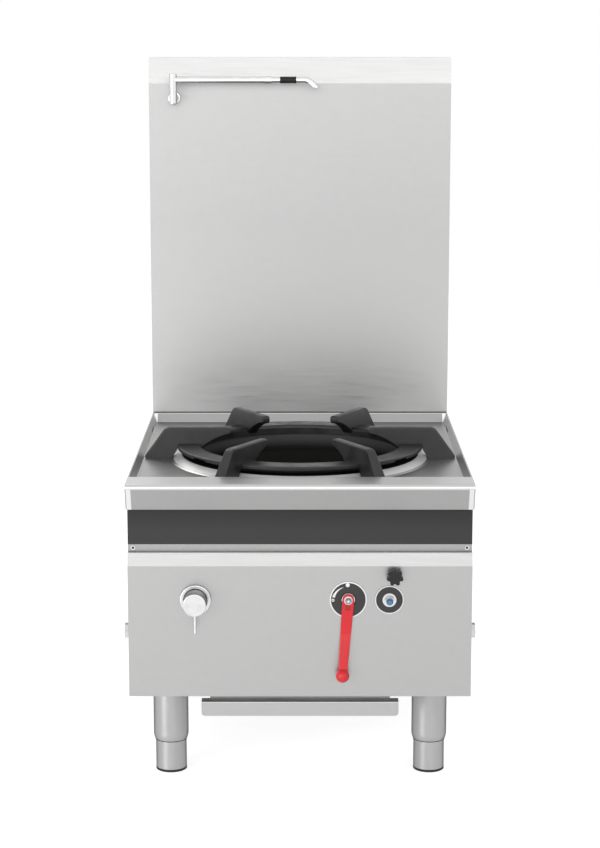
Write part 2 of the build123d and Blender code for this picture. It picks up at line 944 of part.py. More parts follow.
with BuildPart() as burner_body:
    with BuildSketch(front_plane(burner_y)):
        bowl_profile(0)
    revolve(axis=burner_axis)
    with BuildSketch(front_plane(joint_y)):
        with Locations((0, tube_z)):
            Circle(tube_radius)
    extrude(amount=bowl_base - bowl_wall - tube_joint)
    with BuildSketch(front_plane(joint_y)):
        with Locations((0, tube_z)):
            Circle(tube_flange)
    extrude(amount=-tube_flange_height)
    with BuildSketch(front_plane(burner_y)):
        bowl_profile(bowl_wall)
    revolve(axis=burner_axis, mode=Mode.SUBTRACT)
    with BuildSketch(front_plane(joint_y)):
        with Locations((0, tube_z)):
            Circle(tube_radius - tube_wall)
    extrude(amount=-tube_joint, mode=Mode.SUBTRACT)
save(burner_body.part, "burner_body")

with BuildPart() as mixing_tube:
    with BuildSketch(side_plane(0)):
        tube_profile(0)
    revolve(axis=tube_axis)
    with BuildSketch(front_plane(joint_y)):
        with Locations((0, tube_z)):
            Circle(tube_flange)
    extrude(amount=tube_flange_height)
    with BuildSketch(side_plane(0)):
        tube_profile(tube_wall)
    revolve(axis=tube_axis, mode=Mode.SUBTRACT)
save(mixing_tube.part, "mixing_tube")

spigot_radius = bowl_radius - bowl_wall - slide_gap
ceiling = bowl_rim + port_height + 1
with BuildPart() as burner_cap:
    with BuildSketch(front_plane(burner_y)):
        with BuildLine():
            crown = TangentArc(
                (0, cap_top), (burner_cap_radius, cap_top - burner_cap_crown), tangent=(1, 0)
            )
            Polyline(
                crown @ 1,
                (burner_cap_radius, bowl_rim),
                (spigot_radius, bowl_rim),
                (spigot_radius, bowl_rim - burner_cap_spigot),
                (spigot_radius - burner_cap_spigot, bowl_rim - burner_cap_spigot),
                (spigot_radius - burner_cap_spigot, ceiling),
                (0, ceiling),
                crown @ 0,
            )
        make_face()
    revolve(axis=burner_axis)
    port_middle = (burner_cap_radius + spigot_radius) / 2
    port_length = burner_cap_radius - spigot_radius + 3 * burner_cap_spigot
    with Locations((0, burner_y, bowl_rim)):
        with PolarLocations(port_middle, port_count):
            Box(
                port_length,
                port_width,
                port_height,
                align=(Align.CENTER, Align.CENTER, Align.MIN),
                mode=Mode.SUBTRACT,
            )
save(burner_cap.part, "burner_cap")

with BuildPart() as burner_chamber:
    with BuildSketch(front_plane(burner_y)):
        bent_sheet(
            [
                (chamber_flange, floor_under),
                (chamber_radius, floor_under),
                (chamber_radius, chamber_bottom),
                (chamber_radius + chamber_foot, chamber_bottom),
            ],
            3.0,
            sheet,
            Side.LEFT,
        )
    revolve(axis=burner_axis)
    with BuildSketch(front_plane(burner_y - chamber_radius / 2)):
        with Locations((0, tube_z)):
            Circle(mouth_radius + mouth_clear)
    extrude(amount=chamber_radius, mode=Mode.SUBTRACT)
save(burner_chamber.part, "burner_chamber")

with BuildPart() as burner_bracket:
    with BuildSketch(front_plane(burner_y + bracket_width / 2)):
        bent_sheet(
            [
                (-chamber_radius - chamber_foot, chamber_bottom),
                (-bracket_seat - bracket_slant, chamber_bottom),
                (-bracket_seat, bowl_bottom),
                (bracket_seat, bowl_bottom),
                (bracket_seat + bracket_slant, chamber_bottom),
                (chamber_radius + chamber_foot, chamber_bottom),
            ],
            bracket_sheet + 1,
            bracket_sheet,
            Side.RIGHT,
        )
    extrude(amount=bracket_width)
save(burner_bracket.part, "burner_bracket")

# Gas valve and its pipes
valve_left = valve_x - valve_barrel_length / 2 - valve_hex_length
valve_right = valve_x + valve_barrel_length / 2 + valve_hex_length
neck_front = panel_face - valve_neck_reach
stem_end = panel_face + stem_depth
lever_rear = panel_face - lever_standoff
with BuildPart() as gas_valve_body:
    with BuildSketch(side_plane(valve_left)):
        with Locations((gas_y, control_z)):
            RegularPolygon(valve_hex / 2, 6, major_radius=False)
    extrude(amount=valve_right - valve_left)
    with BuildSketch(side_plane(valve_left + valve_hex_length)):
        with Locations((gas_y, control_z)):
            Circle(valve_barrel)
    extrude(amount=valve_barrel_length)
    with BuildSketch(front_plane(gas_y)):
        with Locations((valve_x, control_z)):
            Circle(valve_boss)
    extrude(amount=gas_y - panel_inside)
    with BuildSketch(front_plane(panel_inside)):
        with Locations((valve_x, control_z)):
            Circle(valve_neck)
    extrude(amount=panel_inside - neck_front)
    with BuildSketch(front_plane(neck_front)):
        with Locations((valve_x, control_z)):
            Circle(stem_radius + turn_gap)
    extrude(amount=neck_front - stem_end - slide_gap, mode=Mode.SUBTRACT)
save(gas_valve_body.part, "gas_valve_body")

with BuildPart() as gas_valve_stem:
    with BuildSketch(front_plane(stem_end)):
        with Locations((valve_x, control_z)):
            Circle(stem_radius)
    extrude(amount=stem_end - lever_rear)
    with BuildSketch(front_plane(lever_rear)):
        with Locations((valve_x, control_z)):
            Circle(stem_tip_radius)
    extrude(amount=lever_thickness + nut_washer_height + nut_height + stem_proud)
save(gas_valve_stem.part, "gas_valve_stem")

# Gas lever: a flat strip from the stem to a bend, then a thicker grip that ends in a ball
lever_right = (cos(lever_lean), 0, -sin(lever_lean))
lever_origin = (valve_x, lever_rear, control_z)
lever_face = Plane(origin=lever_origin, x_dir=lever_right, z_dir=(0, -1, 0))
lever_side = Plane(origin=lever_origin, x_dir=(0, 1, 0), z_dir=lever_right)
grip_rear = (lever_grip_thickness - lever_thickness) / 2 - lever_kick
with BuildPart() as gas_lever:
    with BuildSketch(lever_face):
        Circle(lever_head)
        with BuildLine():
            Polyline(
                (-lever_head, 0),
                (-lever_bend_width / 2, -lever_bend),
                (-lever_end_width / 2, -lever_length),
                (lever_end_width / 2, -lever_length),
                (lever_bend_width / 2, -lever_bend),
                (lever_head, 0),
                close=True,
            )
        make_face()
    extrude(amount=lever_length / 2, both=True)
    with BuildSketch(lever_side):
        with BuildLine():
            Polyline(
                (0, 2 * lever_head),
                (0, -lever_bend),
                (grip_rear, -lever_length),
                (grip_rear - lever_grip_thickness, -lever_length),
                (-lever_thickness, -lever_bend),
                (-lever_thickness, 2 * lever_head),
                close=True,
            )
        make_face()
    extrude(amount=2 * lever_head, both=True, mode=Mode.INTERSECT)
    with BuildSketch(lever_face):
        Circle(stem_tip_radius + seat_gap)
    extrude(amount=lever_length / 2, both=True, mode=Mode.SUBTRACT)
    long_edges = gas_lever.edges().filter_by(lambda edge: edge.length > lever_bend / 2)
    fillet(long_edges, lever_edge)
    ball_centre = lever_face.from_local_coords(
        (0, -lever_length, lever_grip_thickness / 2 - grip_rear)
    )
    with Locations(ball_centre):
        Sphere(ball_radius)
save(gas_lever.part, "gas_lever")

nut_rear = lever_rear - lever_thickness
with BuildPart() as lever_nut:
    with BuildSketch(front_plane(nut_rear)):
        with Locations((valve_x, control_z)):
            Circle(nut_washer)
    extrude(amount=nut_washer_height)
    with BuildSketch(front_plane(nut_rear - nut_washer_height)):
        with Locations((valve_x, control_z)):
            RegularPolygon(nut_width / 2, 6, major_radius=False)
    extrude(amount=nut_height)
    with BuildSketch(front_plane(nut_rear)):
        with Locations((valve_x, control_z)):
            Circle(stem_tip_radius + seat_gap)
    extrude(amount=nut_width, mode=Mode.SUBTRACT)
save(lever_nut.part, "lever_nut")

feed_y = hob_front + feed_end
with BuildPart() as gas_feed_pipe:
    feed_route = [
        (valve_left, gas_y, control_z),
        (0, gas_y, control_z),
        (0, gas_y, tube_z),
        (0, feed_y, tube_z),
    ]
    pipe(feed_route, feed_bend, feed_radius, gas_pipe_wall)
save(gas_feed_pipe.part, "gas_feed_pipe")

with BuildPart() as injector:
    with BuildSketch(front_plane(feed_y)):
        with Locations((0, tube_z)):
            RegularPolygon(injector_hex / 2, 6, major_radius=False)
    extrude(amount=-injector_hex_length)
    with BuildSketch(front_plane(feed_y + injector_hex_length)):
        with Locations((0, tube_z)):
            Circle(injector_hex / 2 - 1)
    with BuildSketch(front_plane(feed_y + injector_length)):
        with Locations((0, tube_z)):
            Circle(injector_tip)
    loft()
    with BuildSketch(front_plane(feed_y)):
        with Locations((0, tube_z)):
            Circle(injector_jet)
    extrude(amount=-2 * injector_length, mode=Mode.SUBTRACT)
save(injector.part, "injector")

socket_back = unit_back - socket_back_gap
socket_front = socket_back - socket_length
with BuildPart() as gas_manifold:
    manifold_route = [
        (manifold_x, socket_front, supply_z),
        (manifold_x, gas_y, supply_z),
        (manifold_x, gas_y, control_z),
        (valve_right, gas_y, control_z),
    ]
    pipe(manifold_route, manifold_bend, manifold_radius, gas_pipe_wall)
    with BuildSketch(front_plane(socket_front)):
        with Locations((manifold_x, supply_z)):
            Circle(manifold_socket)
            Circle(manifold_radius - gas_pipe_wall, mode=Mode.SUBTRACT)
    extrude(amount=-socket_length)
    with BuildSketch(front_plane(socket_back)):
        with Locations((manifold_x, supply_z)):
            Circle(manifold_bore)
    extrude(amount=gas_socket_depth, mode=Mode.SUBTRACT)
save(gas_manifold.part, "gas_manifold")

with BuildPart() as gas_bezel:
    with BuildSketch(front_plane(panel_face)):
        with Locations((valve_x, control_z)):
            Circle(gas_bezel_radius)
            Circle(gas_bezel_hole, mode=Mode.SUBTRACT)
    extrude(amount=bezel_thickness)
save(gas_bezel.part, "gas_bezel")

# Pilot valve: a block behind the panel with a push button and a small lobed knob
knob_z = rim_height - knob_drop
button_end = panel_inside + button_inner
button_front = panel_face - button_reach
with BuildPart() as pilot_bezel:
    with BuildSketch(front_plane(panel_face)):
        with Locations((pilot_x, control_z)):
            Circle(pilot_bezel_radius)
            Circle(pilot_neck + seat_gap, mode=Mode.SUBTRACT)
    extrude(amount=bezel_thickness)
save(pilot_bezel.part, "pilot_bezel")

with BuildPart() as pilot_sleeve:
    with BuildSketch(front_plane(panel_inside)):
        with Locations((pilot_x, control_z)):
            Circle(pilot_neck)
    extrude(amount=sheet + pilot_neck_reach)
    with BuildSketch(front_plane(panel_face - bezel_thickness)):
        with Locations((pilot_x, control_z)):
            Circle(pilot_flange)
    extrude(amount=pilot_flange_height)
    with BuildSketch(front_plane(panel_inside)):
        with Locations((pilot_x, control_z)):
            Circle(button_radius + turn_gap)
    extrude(amount=button_reach, mode=Mode.SUBTRACT)
save(pilot_sleeve.part, "pilot_sleeve")

with BuildPart() as pilot_button:
    with BuildSketch(front_plane(button_end)):
        with Locations((pilot_x, control_z)):
            Circle(button_radius)
    extrude(amount=button_end - panel_face + button_step)
    with BuildSketch(front_plane(button_end)):
        with Locations((pilot_x, control_z)):
            Circle(button_nose)
    extrude(amount=button_end - button_front)
    fillet(pilot_button.faces().sort_by(Axis.Y)[0].edges(), 1)
save(pilot_button.part, "pilot_button")

block_rear = hob_front + block_back
block_top = rim_height - block_top_drop
block_bottom = rim_height - block_bottom_drop
spindle_end = panel_inside + spindle_inner
with BuildPart() as pilot_valve:
    with BuildSketch(front_plane(block_rear)):
        with Locations(((block_left + block_right) / 2, (block_top + block_bottom) / 2)):
            RectangleRounded(block_right - block_left, block_top - block_bottom, block_corner)
    extrude(amount=block_rear - panel_inside)
    with BuildSketch(side_plane(block_left)):
        with Locations((gas_y, control_z)):
            Circle(manifold_radius + seat_gap)
    extrude(amount=block_right - block_left, mode=Mode.SUBTRACT)
    with BuildSketch(front_plane(panel_inside)):
        with Locations((pilot_x, control_z)):
            Circle(button_radius + turn_gap)
    extrude(amount=-(button_inner + button_travel + slide_gap), mode=Mode.SUBTRACT)
    with BuildSketch(front_plane(panel_inside)):
        with Locations((knob_x, knob_z)):
            Circle(spindle_radius + turn_gap)
    extrude(amount=-(spindle_inner + slide_gap), mode=Mode.SUBTRACT)
save(pilot_valve.part, "pilot_valve")

knob_face = panel_face - knob_front
knob_rear = knob_face + knob_depth
with BuildPart() as knob_spindle:
    with BuildSketch(front_plane(spindle_end)):
        with Locations((knob_x, knob_z)):
            Circle(spindle_radius)
    extrude(amount=spindle_end - knob_rear + spindle_hold)
save(knob_spindle.part, "knob_spindle")

with BuildPart() as pilot_knob:
    with BuildSketch(front_plane(knob_rear)):
        with Locations((knob_x, knob_z)):
            Circle(knob_radius - knob_lobe_radius)
            with PolarLocations(knob_radius - knob_lobe_radius, knob_lobes, start_angle=90):
                Circle(knob_lobe_radius)
    extrude(amount=knob_depth)
    fillet(pilot_knob.faces().sort_by(Axis.Y)[0].edges(), 1)
    with BuildSketch(front_plane(knob_rear)):
        with Locations((knob_x, knob_z)):
            Circle(spindle_radius + seat_gap)
    extrude(amount=spindle_hold, mode=Mode.SUBTRACT)
save(pilot_knob.part, "pilot_knob")

# Pilot burner and thermocouple on one plate beside the burner
bracket_top = rim_height - pilot_plate_drop
bracket_under = bracket_top - pilot_plate_thick
turned = radians(pilot_turn)
pilot_plane = Plane(
    origin=(0, burner_y, bracket_under), x_dir=(cos(turned), sin(turned), 0), z_dir=(0, 0, 1)
)
pilot_place = pilot_plane.from_local_coords((pilot_ring, -pilot_side, 0))
probe_place = pilot_plane.from_local_coords((pilot_ring, pilot_side, 0))
pilot_z = rim_height - pilot_tube_drop
pilot_foot = rim_height - pilot_tube_top_drop
with BuildPart() as pilot_burner:
    with BuildSketch(pilot_plane):
        with Locations(((bowl_radius - bowl_wall + pilot_plate_end) / 2, 0)):
            RectangleRounded(
                pilot_plate_end - bowl_radius + bowl_wall, pilot_plate_width, pilot_plate_thick
            )
        Circle(bowl_radius + seat_gap, mode=Mode.SUBTRACT)
    extrude(amount=pilot_plate_thick)
    with BuildSketch(level(pilot_foot)):
        with Locations((pilot_place.X, pilot_place.Y)):
            Circle(pilot_nut)
    extrude(amount=pilot_nut_height)
    with BuildSketch(level(pilot_foot)):
        with Locations((pilot_place.X, pilot_place.Y)):
            Circle(pilot_body)
    extrude(amount=pilot_tube_top_drop - pilot_top_drop)
    with BuildSketch(pilot_plane):
        with Locations((pilot_ring, pilot_side)):
            Circle(probe_radius + seat_gap)
    extrude(amount=pilot_plate_thick, mode=Mode.SUBTRACT)
save(pilot_burner.part, "pilot_burner")

with BuildPart() as thermocouple:
    with BuildSketch(pilot_plane):
        with Locations((pilot_ring, pilot_side)):
            Circle(2 * probe_radius)
    extrude(amount=-2 * probe_radius)
    with BuildSketch(level(rim_height - probe_bottom_drop)):
        with Locations((probe_place.X, probe_place.Y)):
            Circle(probe_radius)
    extrude(amount=probe_bottom_drop - probe_top_drop)
    fillet(thermocouple.faces().sort_by(Axis.Z)[-1].edges(), probe_radius / 2)
save(thermocouple.part, "thermocouple")

with BuildPart() as pilot_tube:
    pilot_route = [
        (pilot_tube_x, block_rear, pilot_z),
        (pilot_tube_x, hob_front + pilot_tube_turn, pilot_z),
        (pilot_place.X, pilot_place.Y, pilot_z),
        (pilot_place.X, pilot_place.Y, pilot_foot),
    ]
    pipe(pilot_route, pilot_tube_bend, pilot_tube_radius, pilot_tube_wall)
save(pilot_tube.part, "pilot_tube")

# Water tap: a body behind the panel, a backplate, a turning cap and its pin lever
plate_front = panel_face - backplate_height
tap_y = hob_front + tap_line_setback
with BuildPart() as tap_body:
    with BuildSketch(front_plane(panel_inside)):
        with Locations((tap_x, control_z)):
            Circle(tap_body_radius)
    extrude(amount=-tap_body_depth)
    with BuildSketch(front_plane(panel_inside)):
        with Locations((tap_x, control_z)):
            Circle(tap_neck)
    extrude(amount=panel_inside - plate_front)
    with BuildSketch(side_plane(tap_x)):
        with Locations((tap_y, control_z)):
            Circle(tap_port)
    extrude(amount=-tap_port_reach)
    with BuildSketch(level(control_z)):
        with Locations((tap_x, tap_y)):
            Circle(tap_port)
    extrude(amount=-tap_port_reach)
    with BuildSketch(front_plane(plate_front)):
        with Locations((tap_x, control_z)):
            Circle(cap_spigot + turn_gap)
    extrude(amount=-cap_spigot_length - slide_gap, mode=Mode.SUBTRACT)
save(tap_body.part, "tap_body")

with BuildPart() as tap_backplate:
    with BuildSketch(front_plane(panel_face)):
        with Locations((tap_x, control_z)):
            Circle(backplate_radius)
            Circle(tap_neck + seat_gap, mode=Mode.SUBTRACT)
    extrude(amount=backplate_height)
    rim_edge = tap_backplate.faces().sort_by(Axis.Y)[0].edges().sort_by(SortBy.RADIUS)[-1]
    fillet(rim_edge, backplate_height / 3)
save(tap_backplate.part, "tap_backplate")

cap_rear = plate_front - slide_gap
pin_y = hob_front + pin_setback
pin_start = pin_reach - pin_length
with BuildPart() as tap_cap:
    with BuildSketch(front_plane(cap_rear)):
        with Locations((tap_x, control_z)):
            Circle(cap_radius)
    extrude(amount=cap_rear - hob_front + control_reach)
    fillet(tap_cap.faces().sort_by(Axis.Y)[0].edges(), cap_edge)
    with BuildSketch(front_plane(cap_rear)):
        with Locations((tap_x, control_z)):
            Circle(cap_spigot)
    extrude(amount=slide_gap - cap_spigot_length)
    with BuildSketch(level(control_z - pin_start)):
        with Locations((tap_x, pin_y)):
            Circle(pin_radius + seat_gap)
    extrude(amount=-cap_radius, mode=Mode.SUBTRACT)
save(tap_cap.part, "tap_cap")

with BuildPart() as tap_lever:
    with BuildSketch(level(control_z - pin_start)):
        with Locations((tap_x, pin_y)):
            Circle(pin_radius)
    extrude(amount=-pin_length)
    fillet(tap_lever.faces().sort_by(Axis.Z)[0].edges(), pin_radius / 2)
save(tap_lever.part, "tap_lever")

with BuildPart() as water_inlet:
    inlet_route = [
        (tap_x, socket_front, supply_z),
        (tap_x, tap_y, supply_z),
        (tap_x, tap_y, control_z - tap_port_reach),
    ]
    pipe(inlet_route, water_bend, water_radius, water_pipe_wall)
    with BuildSketch(front_plane(socket_front)):
        with Locations((tap_x, supply_z)):
            Circle(water_socket)
            Circle(water_radius - water_pipe_wall, mode=Mode.SUBTRACT)
    extrude(amount=-socket_length)
    with BuildSketch(front_plane(socket_back)):
        with Locations((tap_x, supply_z)):
            Circle(water_bore)
    extrude(amount=water_socket_depth, mode=Mode.SUBTRACT)
save(water_inlet.part, "water_inlet")

# Swing spout: a rosette that carries the pivot, an arm, a grip sleeve and a bent nozzle
spout_z = rim_height + rosette_rise
split_z = spout_z + pillar_above
arm_z = split_z + spout_arm_above
pillar_y = splash_face - pillar_reach
arm_end = spout_x + spout_arm_reach
shank_end = splash_face + spout_shank_length
with BuildPart() as spout_rosette:
    with BuildSketch(front_plane(splash_face)):
        with Locations((spout_x, spout_z)):
            Circle(rosette_radius)
    extrude(amount=rosette_height)
    fillet(spout_rosette.faces().sort_by(Axis.Y)[0].edges(), rosette_height / 3)
    with BuildSketch(front_plane(splash_face)):
        with Locations((spout_x, spout_z)):
            Circle(stub_radius)
    extrude(amount=splash_face - pillar_y)
    with BuildSketch(front_plane(splash_face)):
        with Locations((spout_x, spout_z)):
            Circle(spout_shank)
    extrude(amount=-spout_shank_length)
    with BuildSketch(level(spout_z - pillar_below)):
        with Locations((spout_x, pillar_y)):
            Circle(pillar_radius)
    extrude(amount=pillar_below + pillar_above)
    fillet(spout_rosette.faces().sort_by(Axis.Z)[0].edges(), pillar_radius / 3)
    with BuildSketch(level(split_z)):
        with Locations((spout_x, pillar_y)):
            Circle(pivot_radius)
    extrude(amount=pivot_height)
save(spout_rosette.part, "spout_rosette")

with BuildPart() as spout_locknut:
    with BuildSketch(front_plane(splash_face + sheet)):
        with Locations((spout_x, spout_z)):
            RegularPolygon(locknut_width / 2, 6, major_radius=False)
            Circle(spout_shank + seat_gap, mode=Mode.SUBTRACT)
    extrude(amount=-locknut_height)
save(spout_locknut.part, "spout_locknut")

with BuildPart() as spout_arm:
    with BuildSketch(level(split_z + slide_gap)):
        with Locations((spout_x, pillar_y)):
            Circle(arm_pillar_radius)
    extrude(amount=arm_pillar_height - slide_gap)
    fillet(spout_arm.faces().sort_by(Axis.Z)[-1].edges(), arm_pillar_radius / 4)
    with BuildSketch(side_plane(spout_x)):
        with Locations((pillar_y, arm_z)):
            Circle(spout_arm_radius)
    extrude(amount=spout_arm_reach)
    with BuildSketch(side_plane(arm_end)):
        with Locations((pillar_y, arm_z)):
            Circle(spout_collar_radius)
    extrude(amount=-spout_collar_length)
    with BuildSketch(level(split_z)):
        with Locations((spout_x, pillar_y)):
            Circle(pivot_radius + turn_gap)
    extrude(amount=pivot_height + slide_gap, mode=Mode.SUBTRACT)
    with BuildSketch(side_plane(arm_end)):
        with Locations((pillar_y, arm_z)):
            Circle(nozzle_radius + seat_gap)
    extrude(amount=-nozzle_hold, mode=Mode.SUBTRACT)
save(spout_arm.part, "spout_arm")

cut_z = arm_z - nozzle_drop
tip_x = spout_x + nozzle_reach
with BuildPart() as spout_nozzle:
    nozzle_route = [
        (arm_end - nozzle_hold, pillar_y, arm_z),
        (tip_x - nozzle_drop, pillar_y, arm_z),
        (tip_x + nozzle_overrun, pillar_y, cut_z - nozzle_overrun),
    ]
    with BuildLine() as nozzle_line:
        FilletPolyline(*nozzle_route, radius=nozzle_bend)
    with BuildSketch(side_plane(arm_end - nozzle_hold)):
        with Locations((pillar_y, arm_z)):
            Circle(nozzle_radius)
            Circle(nozzle_radius - nozzle_wall, mode=Mode.SUBTRACT)
    sweep(path=nozzle_line.wires()[0])
    split(bisect_by=level(cut_z), keep=Keep.TOP)
save(spout_nozzle.part, "spout_nozzle")

with BuildPart() as spout_grip:
    with BuildSketch(side_plane(spout_x + grip_start_reach)):
        with Locations((pillar_y, arm_z)):
            Circle(grip_radius)
            Circle(nozzle_radius + seat_gap, mode=Mode.SUBTRACT)
    extrude(amount=grip_end_reach - grip_start_reach)
save(spout_grip.part, "spout_grip")

with BuildPart() as water_riser:
    riser_route = [
        (tap_x - tap_port_reach, tap_y, control_z),
        (spout_x, tap_y, control_z),
        (spout_x, riser_y, control_z),
        (spout_x, riser_y, spout_z),
        (spout_x, shank_end, spout_z),
    ]
    pipe(riser_route, riser_bend, riser_radius, water_pipe_wall)
save(water_riser.part, "water_riser")
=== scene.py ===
from math import atan2, cos, pi, radians, sin, tan

import bmesh
import bpy
from mathutils import Matrix, Vector


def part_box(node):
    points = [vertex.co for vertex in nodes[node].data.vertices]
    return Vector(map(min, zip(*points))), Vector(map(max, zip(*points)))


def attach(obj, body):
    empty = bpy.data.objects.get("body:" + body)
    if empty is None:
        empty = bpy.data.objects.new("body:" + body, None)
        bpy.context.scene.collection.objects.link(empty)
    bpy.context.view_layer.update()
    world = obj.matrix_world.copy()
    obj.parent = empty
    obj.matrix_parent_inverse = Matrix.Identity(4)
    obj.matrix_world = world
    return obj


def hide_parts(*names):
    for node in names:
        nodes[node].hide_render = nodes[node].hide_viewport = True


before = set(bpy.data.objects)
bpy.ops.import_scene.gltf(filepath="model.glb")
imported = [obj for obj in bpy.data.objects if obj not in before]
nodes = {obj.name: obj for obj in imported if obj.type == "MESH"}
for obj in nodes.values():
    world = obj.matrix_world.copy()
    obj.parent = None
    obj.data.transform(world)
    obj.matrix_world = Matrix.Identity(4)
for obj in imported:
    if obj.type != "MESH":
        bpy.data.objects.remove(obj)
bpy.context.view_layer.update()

MM = 0.001
smooth_angle = 38.0

# Points nearer than this are one point, in millimetres
weld = 0.01

# The photograph's camera, in metres and degrees
camera_place = (0.0, -3.881, 1.3026)
camera_pitch = 10.376
camera_lens = 88.84
camera_reach = 60.0
picture_height = 36.0

# Background and floor
world_fill = 0.45
seen_background = 1.0
floor_size = 14.0
floor_colour = (0.88, 0.88, 0.88)
floor_roughness = 0.9
floor_glow = 0.62

# Highlights of turned metal: how far they stretch, and a quarter turn to lie across the marks
turning_stretch = 0.75
turning_rotation = 0.25

# Each lamp's place, target, and width and height in metres, and its watts
lamps = {
    "soft_box": ((0.0, -9.0, 3.5), (0.0, 0.0, 0.8), (10.0, 3.2), 255.0),
    "key": ((-2.7, -2.9, 0.75), (-0.1, -0.2, 0.3), (2.0, 1.3), 48.0),
    "back": ((-1.6, 2.7, 2.9), (-0.1, -0.1, 0.55), (1.3, 1.3), 24.0),
    "fill": ((2.6, -2.4, 2.2), (0.0, 0.0, 0.6), (2.0, 2.0), 12.0),
}

# Places on the object in millimetres, in the frame's own axes
rim = 557.0
burner_y = -57.0
panel_face = -373.0
bezel_front = -374.0
control_z = 351.0
valve_x = 83.6
pilot_x = 154.8
tap_x = -181.0
tap_plate_front = -379.0
collar_top = 550.0
splash_face = 322.0
sleeve_end = 57.6
slot_place = (295.4, 213.0, 542.0)

# Gas lever in millimetres: a flat bar that kicks outwards below its bend
lever_rear = -375.0
lever_lean = radians(4.2)
lever_thickness = 4.0
lever_bend = 60.0
lever_end = 132.5
lever_kick = 14.0
rib_start = 63.0
rib_end = 117.0
rib_pitch = 4.6
rib_width = 1.3
rib_height = 0.8
rib_edge = 0.35
tab_size = (9.0, 8.5, 1.2)
tab_edge = 0.5
tab_drop = 13.2
ball_ring_size = (16.6, 3.4, 8.8)
ball_ring_edge = 1.2
ball_ring_drop = 122.0
ball_ring_out = 12.2

# Grip sleeve on the spout, along the spout from its pillar
spout_place = (-249.5, 285.0, 1227.0)
grip_start = 210.2
grip_end = 242.2
grip_pitch = 3.5

# Marks on the bezels, radii and places in millimetres from the centre of each bezel
mark_height = 0.15
mark_chamfer = 0.05
gas_rim = (30.0, 32.4)
pilot_rim = (23.2, 25.1)
off_dot_radius = 3.5
off_dot_place = (-1.2, 26.4, 0.0)
low_ring = (1.1, 2.6)
low_ring_place = (-26.5, -0.5, 0.0)
arc_start = -80.0
arc_end = -21.0
arc_steps = 24
arc_inner = 23.5
arc_wide = 28.4
arc_narrow = 23.9

# Neck of the gas valve, and the near-black ring that paints the shade of the recess round it
boss_radii = (9.15, 11.5)
boss_height = 1.7
boss_chamfer = 0.3
recess_radii = (11.5, 12.95)
recess_height = 0.25

# Small parts of the cabinet in millimetres
# Dark strip at the splashback's foot, which paints the shadow where it meets the hob's rim: size, edge, and
# how far it stands ahead and above
splash_shadow_size = (596.0, 1.4, 1.6)
splash_shadow_edge = 0.5
splash_shadow_offset = (0.8, 0.9)
# Dark plates behind the hob's side slots, which paint the shade inside them
slot_shade_size = (1.2, 70.0, 11.0)
slot_shade_edge = 0.3
# Dark ring round the base of the tap's cap, which paints the shadow there
tap_shadow_radii = (20.1, 21.3)
tap_shadow_height = 0.3
# Near-black discs on the screw heads, which paint the shade in their sockets
socket_radius = 2.3
socket_depth = 0.12
screw_core = 3.0

# Outlines of turned pieces, (radius, height) in millimetres
nut_flange = [(4.15, 0.0), (7.4, 0.0), (7.4, 0.8), (6.6, 1.6), (4.15, 1.6)]
nut_hexagon = [(4.15, 1.7), (5.6, 1.7), (5.6, 4.6), (5.1, 5.2), (4.15, 5.2)]
stud_ring = [(2.3, 7.1), (3.6, 7.1), (4.4, 6.6), (4.4, 7.2), (3.8, 7.7), (2.3, 7.7)]
liner_section = [
    (198.0, -34.0),
    (198.7, -34.0),
    (198.7, 0.2),
    (217.5, 0.2),
    (219.2, -0.35),
    (219.4, 0.1),
    (217.5, 0.8),
    (200.0, 0.8),
    (198.6, 0.3),
    (198.0, -0.8),
]
# Pale ring laid on the collar's slope round the liner, which paints light on the slope
slope_ring = [(219.9, -0.93), (235.2, -8.58), (235.4, -8.28), (220.1, -0.6)]
# Dark ring under each leg's sleeve, which paints the shadow in the gap round the foot tube
sleeve_shadow_ring = [(28.3, 0.0), (29.05, 0.0), (29.2, 0.5), (29.15, 1.1), (28.3, 1.1)]
foot_shoe = [(26.6, 0.5), (27.4, 0.5), (27.9, 1.0), (27.9, 3.9), (27.6, 4.3), (26.6, 4.3)]
grip_rib = [(6.3, 0.0), (6.9, 0.3), (6.9, 1.5), (6.3, 1.8)]

# Sides of turned pieces, from the largest to a hexagon
burner_sides = 192
round_sides = 96
slim_sides = 48
small_sides = 32
hexagon_sides = 6

# Zones where the colour changes, most of them to paint light and shade on folds, hollows, bands and edges:
# axis, where the change starts and where it is full, in metres
below_rim = ("Z", 0.5562, 0.5548)
rear_wall = [("Y", 0.3105, 0.3125), ("Y", 0.3218, 0.3208), below_rim]
side_walls = [
    [("X", side * 0.2895, side * 0.2905), ("X", side * 0.2984, side * 0.2978), below_rim]
    for side in (-1, 1)
]
rim_top = [("Z", 0.5550, 0.5562)]
nose_top = [("Y", -0.3805, -0.3825), ("Z", 0.5475, 0.5495)]
splash_foot = [("Z", 0.95, 0.6)]
splash_band = [("Z", 1.219, 1.2195)]
panel_band = [("Z", 0.4102, 0.4106)]
tray_lip_top = [("Y", -0.3560, -0.3555), ("Y", -0.3355, -0.3360), ("Z", 0.155, 0.156)]
liner_edge = [("Z", 0.5475, 0.5485)]
fascia_fade = ("Z", 0.470, 0.511)
liner_fade = ("Z", 0.522, 0.547)
button_step = ("Y", -0.3900, -0.3890)

corners = [f"{row}_{side}" for row in ("front", "rear") for side in ("left", "right")]


def add_camera():
    """Stand the camera where the photograph was taken from."""
    data = bpy.data.cameras.new("camera")
    data.sensor_fit = "VERTICAL"
    data.sensor_height = picture_height
    data.lens = camera_lens
    data.clip_end = camera_reach
    camera = bpy.data.objects.new("camera", data)
    camera.location = camera_place
    camera.rotation_euler = (radians(90.0 - camera_pitch), 0.0, 0.0)
    bpy.context.scene.collection.objects.link(camera)
    bpy.context.scene.camera = camera


